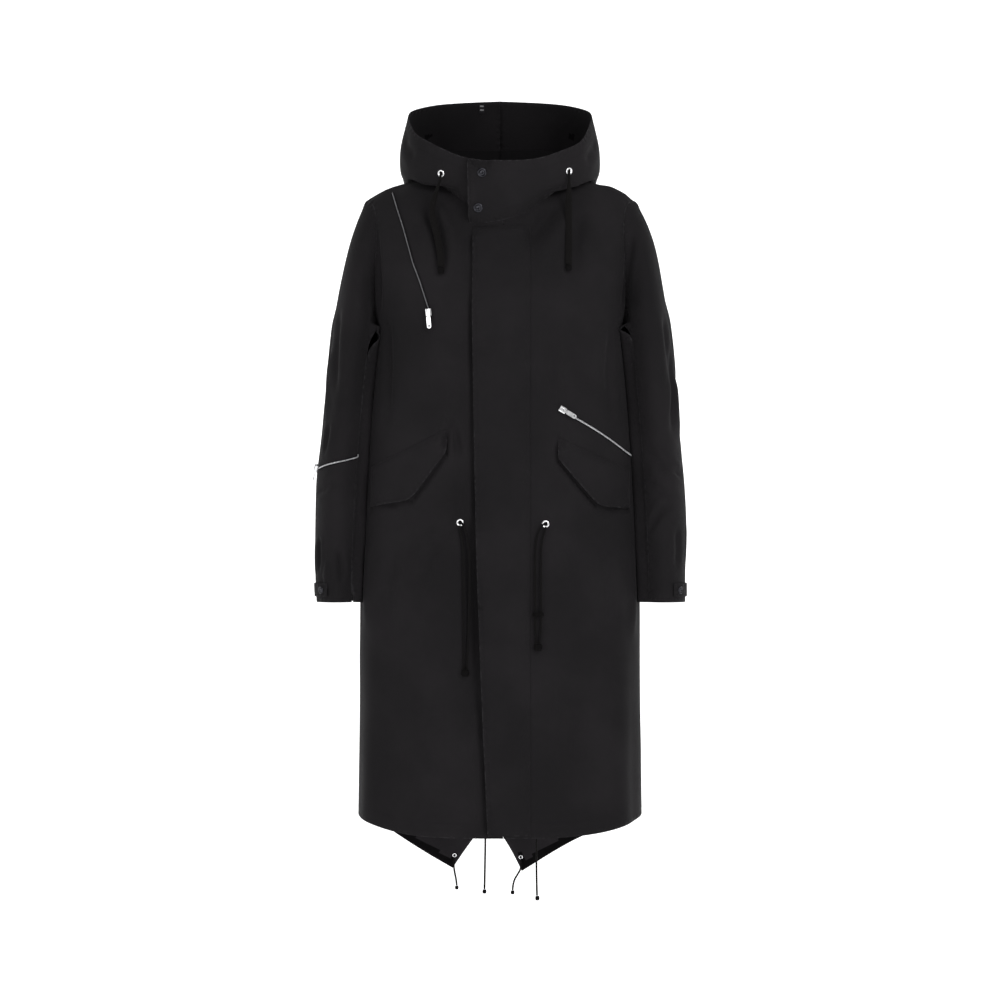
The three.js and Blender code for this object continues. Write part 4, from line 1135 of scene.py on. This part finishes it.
# Cords: the middle of each as it hangs, in millimetres, with its half-width and half-depth
def smoothPath(points, steps):
    points = np.array(points, dtype=float)
    padded = np.vstack([2 * points[0] - points[1], points, 2 * points[-1] - points[-2]])
    line = []
    for i in range(1, len(padded) - 2):
        before, start, end, after = padded[i - 1:i + 3]
        for share in np.linspace(0, 1, steps, endpoint=False):
            line.append(0.5 * (2 * start + (end - before) * share
                               + (2 * before - 5 * start + 4 * end - after) * share ** 2
                               + (3 * start - before - 3 * end + after) * share ** 3))
    line.append(points[-1])
    return np.array(line)


def tube(name, line, wide, deep, material, segments):
    runs = runsOf(line)
    vertices, faces, turns, lengths = [], [], [], []
    for i, (centre, along) in enumerate(zip(line, directions(line))):
        side = np.array([1.0, 0.0, 0.0])
        side -= along * (side @ along)
        side /= np.linalg.norm(side)
        front = np.cross(side, along)
        for k in range(segments):
            angle = 2 * math.pi * k / segments
            vertices.append(centre + side * math.cos(angle) * wide[i] + front * math.sin(angle) * deep[i])
            turns.append(k / segments)
            lengths.append(runs[i])
    last = (len(line) - 1) * segments
    for i in range(len(line) - 1):
        for k in range(segments):
            a, b = i * segments + k, i * segments + (k + 1) % segments
            faces.append((a, b, b + segments, a + segments))
    faces += [tuple(range(segments))[::-1], tuple(last + k for k in range(segments))]
    mesh = solidMesh(name, vertices, faces)
    storeCut(mesh, turns, lengths)
    made = newObject(name, mesh, [material])
    smoothFaces(mesh)
    mesh.set_sharp_from_angle(angle=math.radians(60))
    return made


flatCord = {"neck": 0.0021, "half": 0.0052, "deep": 0.0014}
hoodCord = {"diameter": 0.009, "far_end": "fitting", "material": cordFlat, "stiffness": "medium"}
waistCord = {"diameter": 0.0034, "far_end": "knot", "material": cordDark, "stiffness": "limp"}
hemCord = {"diameter": 0.003, "far_end": "knot", "material": cordDark, "stiffness": "limp"}
cords = {
    "hood_cord_left": dict(hoodCord, ends="hood_cord_end_left", path=[
        (109, -89.5, 13), (109, -91.5, 3), (108.8, -92.4, -8), (108.5, -93.4, -22), (108.2, -95.5, -38),
        (108, -99.8, -56), (108, -105, -76), (108, -110.5, -96), (108, -115.5, -116),
        (107.6, -119.5, -134)]),
    "hood_cord_right": dict(hoodCord, ends="hood_cord_end_right", path=[
        (-93.5, -90, 9), (-95, -92, -1), (-98.5, -92.8, -13), (-103, -94, -27), (-106.5, -97, -43),
        (-106, -101.6, -57), (-103, -106.5, -72), (-99, -111.5, -88), (-95.5, -116.5, -106),
        (-93, -120.5, -122), (-92.5, -123.5, -138)]),
    "waist_cord_left_1": dict(waistCord, ends="waist_cord_knot_left", path=[
        (71.6, -131.5, -546), (69.8, -132.5, -554), (66.8, -133, -564), (65, -133.6, -577),
        (64.3, -134.4, -595), (64.2, -135.4, -615), (64.2, -136.4, -637), (64.3, -137.4, -660),
        (64.4, -138.3, -684), (64, -138.8, -706), (61.8, -139.2, -728)]),
    "waist_cord_left_2": dict(waistCord, ends="waist_cord_knot_left", path=[
        (68.6, -131.2, -541.4), (64, -132, -546.5), (59.6, -132.8, -556), (56.4, -133.4, -570),
        (55.2, -134.3, -588), (55, -135.3, -609), (55, -136.3, -632), (55, -137.3, -656),
        (55, -138.3, -684), (55.4, -138.8, -706), (56.8, -139.2, -728)]),
    "waist_cord_right_1": dict(waistCord, ends="waist_cord_knot_right", path=[
        (-63.4, -132, -543.8), (-61.6, -132.8, -553), (-59, -133.2, -566), (-57.4, -133.6, -582),
        (-57, -134.3, -602), (-57, -135.1, -625), (-57, -136, -650), (-57, -136.8, -676),
        (-57, -137.7, -702), (-57, -138.7, -730), (-57, -140, -768)]),
    "waist_cord_right_2": dict(waistCord, ends="waist_cord_knot_right", path=[
        (-59.5, -132, -540), (-55.5, -132.8, -547), (-51.4, -133.4, -560), (-48.8, -134, -577),
        (-47.6, -134.8, -600), (-47.4, -135.6, -625), (-47.6, -136.4, -650), (-48.2, -137.3, -676),
        (-49, -138.2, -702), (-50.2, -139.2, -730), (-51.8, -140.4, -768)]),
    "hem_cord_front_right": dict(hemCord, ends="hem_cord_knot_front_right", path=[
        (-22.6, -140.7, -1016), (-22.7, -140.7, -1026), (-22.9, -140.7, -1038), (-23.1, -140.7, -1052),
        (-23.4, -140.7, -1068), (-23.7, -140.7, -1084), (-24, -140.7, -1099), (-24.3, -140.7, -1112)]),
    "hem_cord_front_left": dict(hemCord, ends="hem_cord_knot_front_left", path=[
        (57, -139.1, -1016), (57, -139.1, -1027), (57, -139.1, -1040), (57, -139.1, -1055),
        (57, -139.1, -1071), (57.1, -139.1, -1088), (57.4, -139.1, -1105), (57.8, -139.1, -1122)]),
    "tail_cord_right": dict(hemCord, ends="tail_cord_knot_right", path=[
        (-75, 142.6, -1089), (-75.6, 142.4, -1097), (-75.4, 142.4, -1106), (-74, 142.6, -1115),
        (-72, 142.8, -1125), (-70.8, 143, -1135)]),
    "tail_cord_left": dict(hemCord, ends="tail_cord_knot_left", path=[
        (34.2, 142.4, -1092), (34.4, 142.2, -1100), (33.2, 142.2, -1109), (28.8, 142.3, -1117),
        (24.2, 142.4, -1125), (21.6, 142.6, -1134), (20.6, 142.8, -1143)]),
}
endPieces = {}
for name in sorted({cord["ends"] for cord in cords.values()} | {"waist_cord_band"}):
    tone = plainMaterial(name, colour(0.0028, 0.0025, 0.0026), 0.85)
    endPieces[name] = kept(name, tone, 0.0007, sharp=20)
for name, cord in cords.items():
    line = smoothPath(cord["path"], 8) / 1000
    if "hood" in name:
        opened = smoothShare((np.linspace(0, 1, len(line)) - 0.12) / 0.3)
        wide = flatCord["neck"] + (flatCord["half"] - flatCord["neck"]) * opened
        deep = np.full(len(line), flatCord["deep"])
    else:
        wide = np.full(len(line), cord["diameter"] / 2)
        deep = wide
    made = tube(name + "_braid", line, wide, deep, cord["material"], 16)
    fitted(made, name)
    pieces = [endPieces[cord["ends"]]] if not name.endswith("_2") else []
    if name == "waist_cord_left_1":
        pieces.append(endPieces["waist_cord_band"])
print("cords are made")

# The cut of each piece of cloth as it shows: width and length in metres, and its area
cuts = {
    "front_right": (0.27, 1.07), "front_left": (0.27, 1.07),
    "back_right": (0.27, 1.15), "back_left": (0.27, 1.15),
    "top_sleeve_right": (0.2, 0.66), "under_sleeve_right": (0.17, 0.5),
    "top_sleeve_left": (0.2, 0.66), "under_sleeve_left": (0.17, 0.5),
    "hood_right": (0.34, 0.36), "hood_left": (0.36, 0.36), "storm_flap": (0.09, 0.98),
    "pocket_flap_right": (0.14, 0.085), "pocket_flap_left": (0.13, 0.085),
    "cuff_tab_right": (0.1, 0.021), "cuff_tab_left": (0.1, 0.021),
}
for node, cut in cuts.items():
    made = coat[node]["object"]
    area = sum(polygon.area for polygon in made.data.polygons) / 2
    print("area of", node, round(area, 4), "of", round(cut[0] * cut[1], 4))

# Stage: a pale floor that sweeps up behind, and soft studio light
stage = {"floor": -1.42, "back": 9.0, "wide": 9.0, "front": -9.0, "bend": 1.2, "top": 6.0}
profilePoints = [(stage["front"], stage["floor"]), (stage["back"] - stage["bend"], stage["floor"])]
for k in range(1, 13):
    angle = math.pi / 2 * k / 12
    profilePoints.append((stage["back"] - stage["bend"] + math.sin(angle) * stage["bend"],
                          stage["floor"] + (1 - math.cos(angle)) * stage["bend"]))
profilePoints.append((stage["back"], stage["top"]))
vertices = [(x, y, z) for y, z in profilePoints for x in (-stage["wide"], stage["wide"])]
faces = [(2 * i, 2 * i + 1, 2 * i + 3, 2 * i + 2) for i in range(len(profilePoints) - 1)]
sweepMesh = bpy.data.meshes.new("floor")
sweepMesh.from_pydata(vertices, [], faces)
sweepMaterial = Shader("pale floor").finish(
    colour(0.86, 0.86, 0.86), Roughness=0.9, Emission_Color=colour(1, 1, 1), Emission_Strength=0.7)
sweep = newObject("floor", sweepMesh, [sweepMaterial])
smoothFaces(sweepMesh)

world = bpy.data.worlds.new("studio")
scene.world = world
world.use_nodes = True
background = world.node_tree.nodes["Background"]
background.inputs["Color"].default_value = colour(1, 1, 1)
background.inputs["Strength"].default_value = 0.5

lights = {
    "key": {"place": (2.4, -4.0, 1.8), "target": (0, 0, -0.45), "size": 1.8, "power": 104},
    "fill": {"place": (-3.2, -3.6, 0.3), "target": (0, 0, -0.5), "size": 2.6, "power": 42},
    "low": {"place": (0.6, -4.2, -1.25), "target": (0, 0, -1.0), "size": 1.2, "power": 20},
    "top": {"place": (0.1, -2.4, 1.6), "target": (0, 0, 0), "size": 1.2, "power": 12},
    "rimLeft": {"place": (-2.8, 1.0, 0.0), "target": (0, 0, -0.5), "size": 2.0, "power": 6.5},
    "rimRight": {"place": (2.8, 1.0, 0.0), "target": (0, 0, -0.5), "size": 2.0, "power": 3.5},
}
for name, light in lights.items():
    data = bpy.data.lights.new(name, "AREA")
    data.size = light["size"]
    data.energy = light["power"]
    made = bpy.data.objects.new(name, data)
    made.location = light["place"]
    aim = Vector(light["target"]) - Vector(light["place"])
    made.rotation_euler = aim.to_track_quat("-Z", "Y").to_euler()
    scene.collection.objects.link(made)
print("stage is set")
